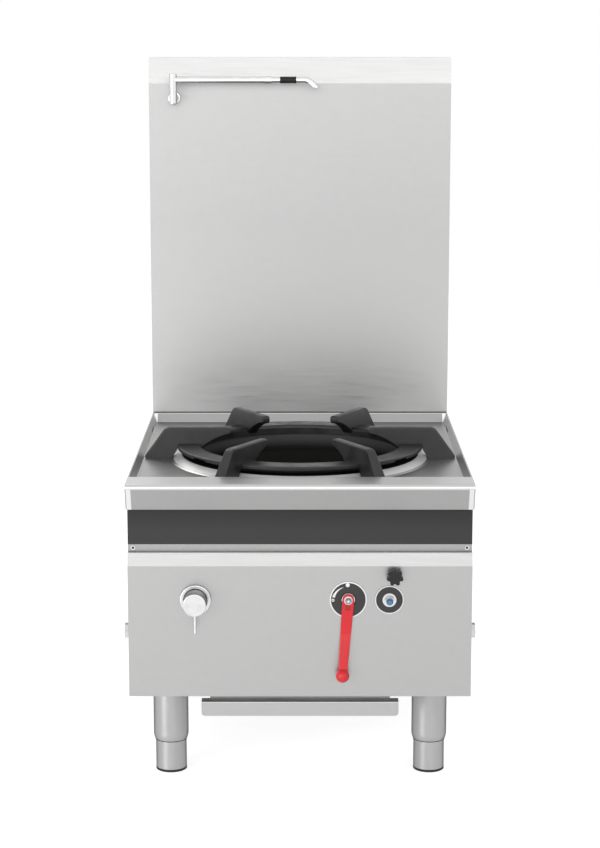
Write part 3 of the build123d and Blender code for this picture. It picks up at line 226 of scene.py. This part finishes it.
def add_lamp(name, place, target, size, watts):
    """One soft lamp, size wide and high, that faces its target and isn't seen itself."""
    data = bpy.data.lights.new(name, "AREA")
    data.shape = "RECTANGLE"
    data.size, data.size_y = size
    data.energy = watts
    light = bpy.data.objects.new(name, data)
    light.location = place
    light.rotation_euler = (Vector(target) - Vector(place)).to_track_quat("-Z", "Y").to_euler()
    light.visible_camera = False
    bpy.context.scene.collection.objects.link(light)


def combine(tree, operation, first, second):
    """One value worked out from two."""
    node = tree.nodes.new("ShaderNodeMath")
    node.operation = operation
    tree.links.new(first, node.inputs[0])
    tree.links.new(second, node.inputs[1])
    return node.outputs[0]


def background_rays(tree):
    """Value of 1 on rays that should see the plain white background."""
    path = tree.nodes.new("ShaderNodeLightPath").outputs
    seen = combine(tree, "MAXIMUM", path["Is Camera Ray"], path["Is Glossy Ray"])
    return combine(tree, "MAXIMUM", seen, path["Is Transmission Ray"])


def spread(tree, value, low, high, start=0.3, end=0.7):
    """Map a value, by default the middle of a noise, to a range of numbers."""
    ramp = tree.nodes.new("ShaderNodeMapRange")
    ramp.inputs["From Min"].default_value = start
    ramp.inputs["From Max"].default_value = end
    ramp.inputs["To Min"].default_value = low
    ramp.inputs["To Max"].default_value = high
    tree.links.new(value, ramp.inputs["Value"])
    return ramp.outputs["Result"]


def add_background():
    """A world that lights the object softly and is plain white to the eye."""
    world = bpy.data.worlds.new("studio")
    world.use_nodes = True
    tree = world.node_tree
    surface = tree.nodes["Background"]
    strength = spread(tree, background_rays(tree), world_fill, seen_background, 0.0, 1.0)
    tree.links.new(strength, surface.inputs["Strength"])
    surface.inputs["Color"].default_value = (1.0, 1.0, 1.0, 1.0)
    bpy.context.scene.world = world


def add_floor():
    """A pale floor that merges with the background and keeps the shadow."""
    mesh = bpy.data.meshes.new("floor")
    half = floor_size / 2
    outline = [(-half, -half, 0.0), (half, -half, 0.0), (half, half, 0.0), (-half, half, 0.0)]
    mesh.from_pydata(outline, [], [(0, 1, 2, 3)])
    floor = bpy.data.objects.new("floor", mesh)
    bpy.context.scene.collection.objects.link(floor)
    material = finish_material("floor", floor_colour, floor_roughness)
    tree = material.node_tree
    surface = tree.nodes["Principled BSDF"]
    surface.inputs["Emission Color"].default_value = (1.0, 1.0, 1.0, 1.0)
    glow = spread(tree, background_rays(tree), 0.0, floor_glow, 0.0, 1.0)
    tree.links.new(glow, surface.inputs["Emission Strength"])
    mesh.materials.append(material)


def finish_material(name, colour, roughness, metallic=0.0, specular=0.5, coat=0.0, edge=1.0):
    """A new material with its uniform values set on the shader."""
    material = bpy.data.materials.new(name)
    material.use_nodes = True
    material.diffuse_color = (*colour, 1.0)
    shader = material.node_tree.nodes["Principled BSDF"]
    shader.inputs["Base Color"].default_value = (*colour, 1.0)
    shader.inputs["Roughness"].default_value = roughness
    shader.inputs["Metallic"].default_value = metallic
    shader.inputs["Specular IOR Level"].default_value = specular
    shader.inputs["Coat Weight"].default_value = coat
    shader.inputs["Specular Tint"].default_value = (edge, edge, edge, 1.0)
    return material


def place_in_frame(tree, scale=(1.0, 1.0, 1.0)):
    """The surface's place in the object's own frame, stretched by scale."""
    where = tree.nodes.new("ShaderNodeTexCoord")
    stretch = tree.nodes.new("ShaderNodeMapping")
    stretch.inputs["Scale"].default_value = scale
    tree.links.new(where.outputs["Object"], stretch.inputs["Vector"])
    return stretch.outputs["Vector"]


def axes(tree):
    """The surface's place in the frame, as one value for each axis."""
    parts = tree.nodes.new("ShaderNodeSeparateXYZ")
    tree.links.new(place_in_frame(tree), parts.inputs["Vector"])
    return parts.outputs


def noise(tree, scale, detail=2.0, roughness=0.5):
    """Noise of one cycle per metre along each axis, stretched by scale."""
    texture = tree.nodes.new("ShaderNodeTexNoise")
    texture.inputs["Scale"].default_value = 1.0
    texture.inputs["Detail"].default_value = detail
    texture.inputs["Roughness"].default_value = roughness
    tree.links.new(place_in_frame(tree, scale), texture.inputs["Vector"])
    return texture.outputs["Fac"]


def vary_colour(material, value, dark, light):
    """Let the base colour run from dark to light with a value."""
    tree = material.node_tree
    mix = tree.nodes.new("ShaderNodeMix")
    mix.data_type = "RGBA"
    mix.inputs["A"].default_value = (*dark, 1.0)
    mix.inputs["B"].default_value = (*light, 1.0)
    tree.links.new(value, mix.inputs["Factor"])
    tree.links.new(mix.outputs["Result"], tree.nodes["Principled BSDF"].inputs["Base Color"])


def mottle(material, value, colour, dark, light):
    """Let the base colour vary with a noise, from dark to light times the colour."""
    share = spread(material.node_tree, value, 0.0, 1.0)
    vary_colour(material, share, shade(colour, dark), shade(colour, light))


def vary_roughness(material, value, low, high):
    """Let the roughness run from low to high with a noise."""
    tree = material.node_tree
    roughness = tree.nodes["Principled BSDF"].inputs["Roughness"]
    tree.links.new(spread(tree, value, low, high), roughness)


def bump(material, value, depth, strength=1.0):
    """Raise the surface by a noise, depth in metres."""
    tree = material.node_tree
    node = tree.nodes.new("ShaderNodeBump")
    node.inputs["Strength"].default_value = strength
    node.inputs["Distance"].default_value = depth
    tree.links.new(value, node.inputs["Height"])
    tree.links.new(node.outputs["Normal"], tree.nodes["Principled BSDF"].inputs["Normal"])


def fade(material, zone, before, after):
    """Colour that runs from before to after between the two ends of a zone."""
    axis, start, end = zone
    tree = material.node_tree
    vary_colour(material, spread(tree, axes(tree)[axis], 0.0, 1.0, start, end), before, after)


def tint(material, zones, colour):
    """Change the colour where the surface is in every one of the zones."""
    tree = material.node_tree
    places = axes(tree)
    share = None
    for axis, start, end in zones:
        inside = spread(tree, places[axis], 0.0, 1.0, start, end)
        share = combine(tree, "MULTIPLY", share, inside) if share else inside
    base = tree.nodes["Principled BSDF"].inputs["Base Color"]
    mix = tree.nodes.new("ShaderNodeMix")
    mix.data_type = "RGBA"
    mix.inputs["B"].default_value = (*colour, 1.0)
    tree.links.new(share, mix.inputs["Factor"])
    tree.links.new(base.links[0].from_socket, mix.inputs["A"])
    tree.links.new(mix.outputs["Result"], base)


def shade(colour, factor):
    """A colour made lighter or darker."""
    return tuple(min(1.0, part * factor) for part in colour)


def brushed_steel(name, colour, roughness, along):
    """Satin sheet: fine scratches along one axis, a faint mottle and a soft sheen."""
    material = finish_material(name, colour, roughness, metallic=1.0)
    tree = material.node_tree
    scratch_scale = [900.0, 900.0, 900.0]
    scratch_scale["XYZ".index(along)] = 14.0
    scratches = noise(tree, scale=scratch_scale, detail=3.0)
    patches = noise(tree, scale=(70.0, 70.0, 70.0), detail=4.0, roughness=0.7)
    mottle(material, patches, colour, dark=0.985, light=1.015)
    vary_roughness(material, scratches, roughness - 0.05, roughness + 0.07)
    bump(material, scratches, depth=0.00002)
    return material


def turned_metal(name, colour, roughness, metallic, edge):
    """Round steel with fine turning marks about an upright axis."""
    material = finish_material(name, colour, roughness, metallic=metallic, edge=edge)
    tree = material.node_tree
    shader = tree.nodes["Principled BSDF"]
    shader.inputs["Anisotropic"].default_value = turning_stretch
    shader.inputs["Anisotropic Rotation"].default_value = turning_rotation
    around = tree.nodes.new("ShaderNodeTangent")
    around.direction_type = "RADIAL"
    around.axis = "Z"
    tree.links.new(around.outputs["Tangent"], shader.inputs["Tangent"])
    marks = noise(tree, scale=(10.0, 10.0, 1100.0))
    wipes = noise(tree, scale=(50.0, 50.0, 20.0), detail=3.0)
    mottle(material, wipes, colour, dark=0.97, light=1.03)
    vary_roughness(material, wipes, roughness - 0.03, roughness + 0.05)
    bump(material, marks, depth=0.00008)
    return material


def cast_iron(name, colour, roughness):
    """Sand cast surface: fine grain over shallow unevenness, with a dull sheen."""
    material = finish_material(name, colour, roughness)
    tree = material.node_tree
    grain = noise(tree, scale=(900.0, 900.0, 900.0), detail=5.0, roughness=0.65)
    patches = noise(tree, scale=(40.0, 40.0, 40.0), detail=3.0)
    mottle(material, patches, colour, dark=0.75, light=1.3)
    vary_roughness(material, patches, roughness - 0.08, roughness + 0.08)
    bump(material, grain, depth=0.00025, strength=0.6)
    return material


def smooth_metal(name, colour, roughness):
    """Polished, plated or machined metal with faint wipe marks and darker edges."""
    material = finish_material(name, colour, roughness, metallic=1.0, edge=0.25)
    wipes = noise(material.node_tree, scale=(60.0, 25.0, 90.0), detail=3.0)
    mottle(material, wipes, colour, dark=0.93, light=1.04)
    vary_roughness(material, wipes, max(0.03, roughness - 0.04), roughness + 0.05)
    return material


def coated(name, colour, roughness, grain, depth, coat=0.0, specular=0.5):
    """Paint, plastic, enamel or rubber with a fine skin of grain cycles per metre."""
    material = finish_material(name, colour, roughness, specular=specular, coat=coat)
    tree = material.node_tree
    skin = noise(tree, scale=(grain, grain, grain), detail=3.0)
    patches = noise(tree, scale=(25.0, 25.0, 25.0))
    mottle(material, patches, colour, dark=0.9, light=1.08)
    vary_roughness(material, skin, roughness - 0.05, roughness + 0.05)
    bump(material, skin, depth, strength=0.5)
    return material


def dress(names, material):
    """Give CAD nodes one material."""
    for name in names:
        node = nodes[name]
        node.data.materials.clear()
        node.data.materials.append(material)


def add_piece(name, shape, body, material):
    """Turn a bmesh in millimetres into a piece that rides on a body."""
    bmesh.ops.recalc_face_normals(shape, faces=shape.faces)
    bmesh.ops.scale(shape, vec=(MM, MM, MM), verts=shape.verts)
    mesh = bpy.data.meshes.new(name)
    shape.to_mesh(mesh)
    shape.free()
    for face in mesh.polygons:
        face.use_smooth = True
    mesh.set_sharp_from_angle(angle=radians(smooth_angle))
    mesh.materials.append(material)
    piece = bpy.data.objects.new(name, mesh)
    bpy.context.scene.collection.objects.link(piece)
    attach(piece, body)
    return piece


def facing(direction, place):
    """Matrix that turns local Z to a direction and moves to a place in millimetres."""
    turn = {
        "front": Matrix.Rotation(radians(90.0), 4, "X"),
        "right": Matrix.Rotation(radians(90.0), 4, "Y"),
        "back": Matrix.Rotation(radians(-90.0), 4, "X"),
        "up": Matrix.Identity(4),
    }[direction]
    return Matrix.Translation(place) @ turn


def turned(outline, matrix, sides=round_sides):
    """A closed outline of (radius, height) revolved about the local Z axis."""
    shape = bmesh.new()
    rings = []
    for step in range(sides):
        angle = 2.0 * pi * step / sides
        ring = [
            shape.verts.new(matrix @ Vector((radius * cos(angle), radius * sin(angle), height)))
            for radius, height in outline
        ]
        rings.append(ring)
    for here, there in zip(rings, rings[1:] + rings[:1]):
        for corner in range(len(outline)):
            after = (corner + 1) % len(outline)
            shape.faces.new((here[corner], here[after], there[after], there[corner]))
    bmesh.ops.remove_doubles(shape, verts=shape.verts, dist=weld)
    return shape


def flat_ring(inner, outer, height, chamfer=mark_chamfer):
    """Outline of a thin washer with small chamfers on its upper edges."""
    return [
        (inner, 0.0),
        (outer, 0.0),
        (outer, height - chamfer),
        (outer - chamfer, height),
        (inner + chamfer, height),
        (inner, height - chamfer),
    ]


def flat_disc(radius, height, chamfer=mark_chamfer):
    """Outline of a low disc with a chamfered edge."""
    return [(0.0, 0.0), (radius, 0.0), (radius, height - chamfer), (radius - chamfer, height), (0.0, height)]


def band(outer, inner, height, matrix):
    """A thin plate between two rows of points on the local XY plane."""
    shape = bmesh.new()
    rows = []
    for row, level in ((outer, 0.0), (inner, 0.0), (inner, height), (outer, height)):
        rows.append([shape.verts.new(matrix @ Vector((x, y, level))) for x, y in row])
    for here, there in zip(rows, rows[1:] + rows[:1]):
        for step in range(len(here) - 1):
            shape.faces.new((here[step], here[step + 1], there[step + 1], there[step]))
    for end in (0, -1):
        shape.faces.new([row[end] for row in rows])
    return shape


def rounded_bar(size, edge, matrix):
    """A bar with rounded edges, centred on the local origin."""
    shape = bmesh.new()
    bmesh.ops.create_cube(shape, size=1.0)
    bmesh.ops.scale(shape, vec=size, verts=shape.verts)
    bmesh.ops.bevel(
        shape, geom=list(shape.edges), offset=edge, segments=3, profile=0.5, affect="EDGES"
    )
    bmesh.ops.transform(shape, matrix=matrix, verts=shape.verts)
    return shape


def islands(shape):
    """The separate pieces of a mesh, each as a list of its vertices."""
    waiting = set(shape.verts)
    found = []
    while waiting:
        island = [waiting.pop()]
        for vertex in island:
            for edge in vertex.link_edges:
                other = edge.other_vert(vertex)
                if other in waiting:
                    waiting.remove(other)
                    island.append(other)
        found.append(island)
    return found


def screw_heads(node):
    """Centre of each screw head's face in millimetres, and the way that it looks."""
    shape = bmesh.new()
    shape.from_mesh(nodes[node].data)
    bmesh.ops.remove_doubles(shape, verts=shape.verts, dist=weld * MM)
    heads = []
    for island in islands(shape):
        places = [vertex.co / MM for vertex in island]
        low, high = (Vector([pick(axis) for axis in zip(*places)]) for pick in (min, max))
        middle = (low + high) / 2
        wide = [place.y for place in places if abs(place.x - middle.x) > screw_core]
        looks_forward = min(wide) - low.y < high.y - max(wide)
        toward, face = ("front", low.y) if looks_forward else ("back", high.y)
        heads.append((Vector((middle.x, face, middle.z)), toward))
    shape.free()
    return sorted(heads, key=lambda head: tuple(head[0]))


def flow_arc(matrix):
    """A flat arc on the gas bezel that narrows towards the off mark."""
    outer, inner = [], []
    for step in range(arc_steps + 1):
        share = step / arc_steps
        angle = radians(arc_start + (arc_end - arc_start) * share)
        reach = arc_wide + (arc_narrow - arc_wide) * share
        outer.append((reach * sin(angle), reach * cos(angle)))
        inner.append((arc_inner * sin(angle), arc_inner * cos(angle)))
    return band(outer, inner, mark_height, matrix)


def mark_bezels(white, black, steel):
    """Plain marks on the two control bezels, and the neck of the gas valve with a near-black ring that
    paints the shade of the recess round it.
    """
    gas_face = facing("front", (valve_x, bezel_front, control_z))
    pilot_face = facing("front", (pilot_x, bezel_front, control_z))
    off_place = gas_face @ Matrix.Translation(off_dot_place)
    low_place = gas_face @ Matrix.Translation(low_ring_place)
    marks = {
        "gas_rim_mark": turned(flat_ring(*gas_rim, mark_height), gas_face),
        "pilot_rim_mark": turned(flat_ring(*pilot_rim, mark_height), pilot_face),
        "gas_off_mark": turned(flat_disc(off_dot_radius, mark_height), off_place, small_sides),
        "gas_low_mark": turned(flat_ring(*low_ring, mark_height), low_place, small_sides),
        "gas_flow_mark": flow_arc(gas_face),
    }
    for name, shape in marks.items():
        add_piece(name, shape, "cabinet", white)
    panel_front = facing("front", (valve_x, panel_face, control_z))
    # Painted shade: a near-black ring in the recess round the valve's neck
    recess = turned(flat_ring(*recess_radii, recess_height), panel_front)
    add_piece("valve_recess", recess, "cabinet", black)
    boss = turned(flat_ring(*boss_radii, boss_height, boss_chamfer), panel_front)
    add_piece("valve_boss", boss, "cabinet", steel)


def dress_lever(white, steel, red, red_painted_shade):
    """The nut on the gas lever, its tab, its grip ribs and the ring above its ball."""
    lever = facing("front", (valve_x, lever_rear, control_z)) @ Matrix.Rotation(-lever_lean, 4, "Z")
    nut_seat = lever @ Matrix.Translation((0, 0, lever_thickness))
    # Painted reflection: the nut's flange is matte white, standing in for a polished washer
    nut = add_piece("lever_nut_flange", turned(nut_flange, nut_seat), "gas_lever", white)
    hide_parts("lever_nut")
    # The hexagon and stud ring are in darker steel, which paints the shade round the stud
    hexagon = turned(nut_hexagon, nut_seat, hexagon_sides)
    add_piece("lever_nut_hexagon", hexagon, "gas_lever", steel)
    stud = turned(stud_ring, nut_seat, slim_sides)
    add_piece("lever_stud_ring", stud, "gas_lever", steel)
    # Painted shade: the tab under the nut is a darker red
    tab = rounded_bar(tab_size, tab_edge, lever @ Matrix.Translation((0, -tab_drop, lever_thickness)))
    add_piece("lever_tab", tab, "gas_lever", red_painted_shade)
    slope = atan2(lever_kick, lever_end - lever_bend)
    tilt = Matrix.Rotation(-slope, 4, "X")
    rib_size = (rib_width, (rib_end - rib_start) / cos(slope), rib_height)
    along = (rib_start + rib_end) / 2
    out = lever_thickness + (along - lever_bend) * tan(slope)
    for number, across in enumerate((-rib_pitch, 0.0, rib_pitch), 1):
        rib = rounded_bar(rib_size, rib_edge, lever @ Matrix.Translation((across, -along, out)) @ tilt)
        add_piece(f"lever_rib_{number}", rib, "gas_lever", red)
    # Painted shade: the ring above the ball is a darker red
    ring_place = lever @ Matrix.Translation((0, -ball_ring_drop, ball_ring_out)) @ tilt
    ring = rounded_bar(ball_ring_size, ball_ring_edge, ring_place)
    add_piece("lever_neck_ring", ring, "gas_lever", red_painted_shade)


def finish_hob(enamel_with_painted_shade, bright, shadow_fill):
    """The dark liner of the burner opening, a pale ring that paints light on the collar's slope round it, a
    dark strip that paints the shadow at the splashback's foot, and dark plates that paint the shade behind
    the side slots.
    """
    burner = facing("up", (0, burner_y, collar_top))
    # Liner of the burner opening, whose colour is painted shade
    liner = turned(liner_section, burner, burner_sides)
    add_piece("burner_opening_liner", liner, "cabinet", enamel_with_painted_shade)
    # Painted light: a pale ring on the collar's slope
    add_piece("collar_painted_light", turned(slope_ring, burner, burner_sides), "cabinet", bright)
    # Painted shadow: a dark strip along the splashback's foot
    ahead, above = splash_shadow_offset
    splash_shadow_place = Matrix.Translation((0, splash_face - ahead, rim + above))
    shadow_strip = rounded_bar(splash_shadow_size, splash_shadow_edge, splash_shadow_place)
    add_piece("splashback_shadow", shadow_strip, "cabinet", shadow_fill)
    # Painted shade: dark plates behind the side slots
    x, y, z = slot_place
    for side, sign in (("left", -1), ("right", 1)):
        place = Matrix.Translation((sign * x, y, z))
        slot_shade_plate = rounded_bar(slot_shade_size, slot_shade_edge, place)
        add_piece(f"slot_painted_shade_{side}", slot_shade_plate, "cabinet", shadow_fill)


def finish_legs(rubber, dark):
    """The dark ring under each sleeve, which paints the shadow between sleeve and foot tube, and the rubber
    shoe round each foot.
    """
    for corner in corners:
        low, high = (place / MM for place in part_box(f"foot_tube_{corner}"))
        x, y = (low.x + high.x) / 2, (low.y + high.y) / 2
        # Painted shadow in the gap between the sleeve and the foot tube
        shadow_strip = turned(sleeve_shadow_ring, facing("up", (x, y, sleeve_end)))
        add_piece(f"sleeve_shadow_ring_{corner}", shadow_strip, "cabinet", dark)
        shoe = turned(foot_shoe, facing("up", (x, y, 0)))
        add_piece(f"foot_shoe_{corner}", shoe, f"foot_{corner}", rubber)


def finish_fittings(black, dark):
    """Near-black discs that paint the shade in the screw sockets, a dark ring that paints the shadow round
    the base of the tap's cap, and the ribs of the spout's grip.
    """
    # Painted shade: a near-black disc in each screw's socket
    for number, (place, toward) in enumerate(screw_heads("cover_screws"), 1):
        socket = turned(flat_disc(socket_radius, socket_depth), facing(toward, place), hexagon_sides)
        add_piece(f"screw_socket_{number}", socket, "cabinet", dark)
    # Painted shadow: a dark ring round the base of the tap's cap
    tap_face = facing("front", (tap_x, tap_plate_front, control_z))
    shadow_fill = turned(flat_ring(*tap_shadow_radii, tap_shadow_height), tap_face)
    add_piece("tap_cap_shadow", shadow_fill, "cabinet", black)
    x, y, z = spout_place
    count = int((grip_end - grip_start) / grip_pitch)
    for number in range(count):
        start = x + grip_start + grip_pitch * (number + 0.5)
        rib = turned(grip_rib, facing("right", (start, y, z)), slim_sides)
        add_piece(f"grip_rib_{number + 1}", rib, "spout", black)


add_camera()
add_background()
for lamp_name, (place, target, size, watts) in lamps.items():
    add_lamp(lamp_name, place, target, size, watts)
add_floor()

# Sheet steel: copies of one steel colour made lighter or darker sheet by sheet, which paints how the light
# falls on each, with painted light and shade on its folds, hollows and bands
steel_colour = (0.375, 0.375, 0.373)
sheet_flat = brushed_steel("steel_across", shade(steel_colour, 1.06), roughness=0.36, along="X")
# Painted shade: the front panel's top band is darker than the rest of the panel
tint(sheet_flat, panel_band, shade(steel_colour, 0.97))
hob_sheet = brushed_steel("steel_hob", shade(steel_colour, 0.95), roughness=0.36, along="X")
# Painted shade: the recess's rear wall is darker
tint(hob_sheet, rear_wall, shade(steel_colour, 0.68))
# Painted light: the recess's side walls are lighter
for side_wall in side_walls:
    tint(hob_sheet, side_wall, shade(steel_colour, 1.9))
# Painted light: the hob's top at rim height is lighter
tint(hob_sheet, rim_top, shade(steel_colour, 1.5))
# Painted highlight on the rounded nose at the hob's front
tint(hob_sheet, nose_top, shade(steel_colour, 1.54))
sheet_side = brushed_steel("steel_lengthwise", shade(steel_colour, 0.96), roughness=0.38, along="Y")
sheet_upright = brushed_steel("steel_upright", shade(steel_colour, 1.04), roughness=0.4, along="X")
# Painted light: the splashback is lighter towards its foot
tint(sheet_upright, splash_foot, shade(steel_colour, 1.20))
# Painted light: the splashback's top band, which leans back, is lighter
tint(sheet_upright, splash_band, shade(steel_colour, 1.22))
bright_trim = brushed_steel("steel_trim", shade(steel_colour, 0.92), roughness=0.3, along="X")
tray_sheet = brushed_steel("steel_tray", shade(steel_colour, 1.1), roughness=0.36, along="X")
# Painted shade: the top of the tray's lip and the front wall just behind it are darker
tint(tray_sheet, tray_lip_top, shade(steel_colour, 0.9))
inner_sheet = brushed_steel("galvanised_sheet", (0.40, 0.41, 0.42), roughness=0.5, along="Y")

# Turned, cast, plated and machined metal
turned_steel = turned_metal(
    "steel_turned", (0.40, 0.40, 0.399), roughness=0.32, metallic=0.85, edge=0.1
)
# Pale, partly metallic steel for the ring on the collar's slope: painted light
painted_light_steel = turned_metal("steel_painted_light", (0.85, 0.85, 0.845), roughness=0.5, metallic=0.35, edge=0.8)
pot_iron = cast_iron("pot_support_iron", (0.012, 0.012, 0.0125), roughness=0.40)
burner_iron = cast_iron("burner_iron", (0.030, 0.029, 0.026), roughness=0.65)
chrome = smooth_metal("chrome", (0.83, 0.83, 0.84), roughness=0.12)
satin_chrome = smooth_metal("satin_chrome", (0.62, 0.62, 0.625), roughness=0.3)
zinc = smooth_metal("zinc_plate", (0.62, 0.62, 0.63), roughness=0.28)
# Darker steel for the lever's nut, which paints the shade round its stud
nut_steel_painted_shade = smooth_metal("nut_steel_painted_shade", (0.30, 0.30, 0.31), roughness=0.3)
brass = smooth_metal("brass", (0.70, 0.50, 0.22), roughness=0.3)
copper = smooth_metal("copper", (0.72, 0.38, 0.24), roughness=0.27)

# Paint, enamel, plastic and rubber
fascia_paint = coated(
    "fascia_paint", (0.021, 0.021, 0.0215), roughness=0.45, grain=700.0, depth=0.00005, specular=0.35
)
# Painted shade: the fascia darkens towards its top, under the hob's apron
fade(fascia_paint, fascia_fade, before=(0.028, 0.028, 0.0285), after=(0.010, 0.010, 0.010))
pipe_paint = coated("pipe_paint", (0.16, 0.16, 0.165), roughness=0.5, grain=500.0, depth=0.0001)
red_paint = coated(
    "red_paint", (0.66, 0.012, 0.02), roughness=0.4, grain=400.0, depth=0.00005, coat=0.05
)
# Darker copy of the lever's red, which paints shade on its tab and the ring above its ball
red_painted_shade = coated("red_paint_painted_shade", (0.38, 0.012, 0.018), roughness=0.4, grain=400.0, depth=0.00005)
bezel_black = coated("bezel_black", (0.020, 0.020, 0.021), roughness=0.4, grain=900.0, depth=0.00003)
# Near-black that paints shade and shadow: the recess round the valve's neck, the gaps under the sleeves and
# the screw sockets
shade_black = coated(
    "shade_black", (0.003, 0.003, 0.003), roughness=0.85, grain=900.0, depth=0.00003, specular=0.05
)
# White of the printed marks, also used on the lever nut's flange, where it paints the reflection of a
# polished washer
print_white_also_painted_reflection = coated("print_white_also_painted_reflection", (0.85, 0.85, 0.85), roughness=0.45, grain=800.0, depth=0.00002)
# Enamel for the liner of the burner opening; its colour is all painted shade, set by the fade and the tint
# below
enamel_with_painted_shade = coated(
    "burner_enamel_painted_shade", (0.016, 0.016, 0.015), roughness=0.6, grain=300.0, depth=0.0001, specular=0.2
)
# Painted shade: near black deep in the burner opening, lighter towards its top
fade(enamel_with_painted_shade, liner_fade, before=(0.005, 0.005, 0.004), after=(0.115, 0.115, 0.115))
# Painted shadow: the liner's top edge is near black, under the pot support's ring
tint(enamel_with_painted_shade, liner_edge, (0.002, 0.002, 0.002))
# Near-black coat on the inside of the burner chamber
chamber_black = coated(
    "chamber_near_black", (0.014, 0.014, 0.011), roughness=0.8, grain=120.0, depth=0.0002, specular=0.2
)
blue_plastic = coated(
    "blue_plastic", (0.06, 0.24, 0.55), roughness=0.25, grain=500.0, depth=0.00005, coat=0.3
)
fade(blue_plastic, button_step, before=(0.068, 0.19, 0.40), after=(0.04, 0.12, 0.27))
# Black plastic of the knob, the spout's grip and its ribs, also used for the ring round the tap's cap, where
# it paints shadow
black_plastic = coated(
    "black_plastic", (0.012, 0.012, 0.0125), roughness=0.4, grain=600.0, depth=0.00005, specular=0.3
)
# Rubber of the feet and their shoes, also used for the strip at the splashback's foot and the plates behind
# the side slots, where it paints shadow and shade
rubber = coated("rubber", (0.02, 0.02, 0.02), roughness=0.8, grain=500.0, depth=0.0002)

dress(["hob_top"], hob_sheet)
dress(["drip_tray"], tray_sheet)
dress(["front_panel"], sheet_flat)
dress(["splash_front"], sheet_upright)
dress(["side_panel_left", "side_panel_right"], sheet_side)
dress(["splash_rear", "rear_panel", "base_plate", "tray_runners", "burner_bracket"], inner_sheet)
dress(["front_rail"], bright_trim)
dress(["burner_chamber"], chamber_black)
dress(["fascia"], fascia_paint)
dress(["pot_support"], pot_iron)
dress(["burner_body", "burner_cap", "mixing_tube"], burner_iron)
dress(["side_bolts", "cover_screws", "gas_valve_stem", "lever_nut"], zinc)
dress(["knob_spindle", "pilot_burner", "thermocouple"], zinc)
dress(["gas_valve_body", "pilot_valve", "injector", "tap_body", "spout_locknut"], brass)
dress(["gas_feed_pipe", "gas_manifold"], pipe_paint)
dress(["pilot_tube", "water_inlet", "water_riser"], copper)
dress(["gas_lever"], red_paint)
dress(["gas_bezel", "pilot_bezel"], bezel_black)
dress(["pilot_button"], blue_plastic)
dress(["pilot_knob", "spout_grip"], black_plastic)
dress(["pilot_sleeve", "tap_backplate", "tap_cap", "tap_lever"], satin_chrome)
dress(["spout_rosette", "spout_arm", "spout_nozzle"], chrome)
dress([f"leg_sleeve_{corner}" for corner in corners], turned_steel)
dress([f"foot_tube_{corner}" for corner in corners], turned_steel)
dress([f"foot_pad_{corner}" for corner in corners], rubber)

mark_bezels(print_white_also_painted_reflection, shade_black, chrome)
dress_lever(print_white_also_painted_reflection, nut_steel_painted_shade, red_paint, red_painted_shade)
finish_hob(enamel_with_painted_shade, painted_light_steel, rubber)
finish_legs(rubber, shade_black)
finish_fittings(black_plastic, shade_black)

bpy.context.scene.view_settings.view_transform = "Standard"
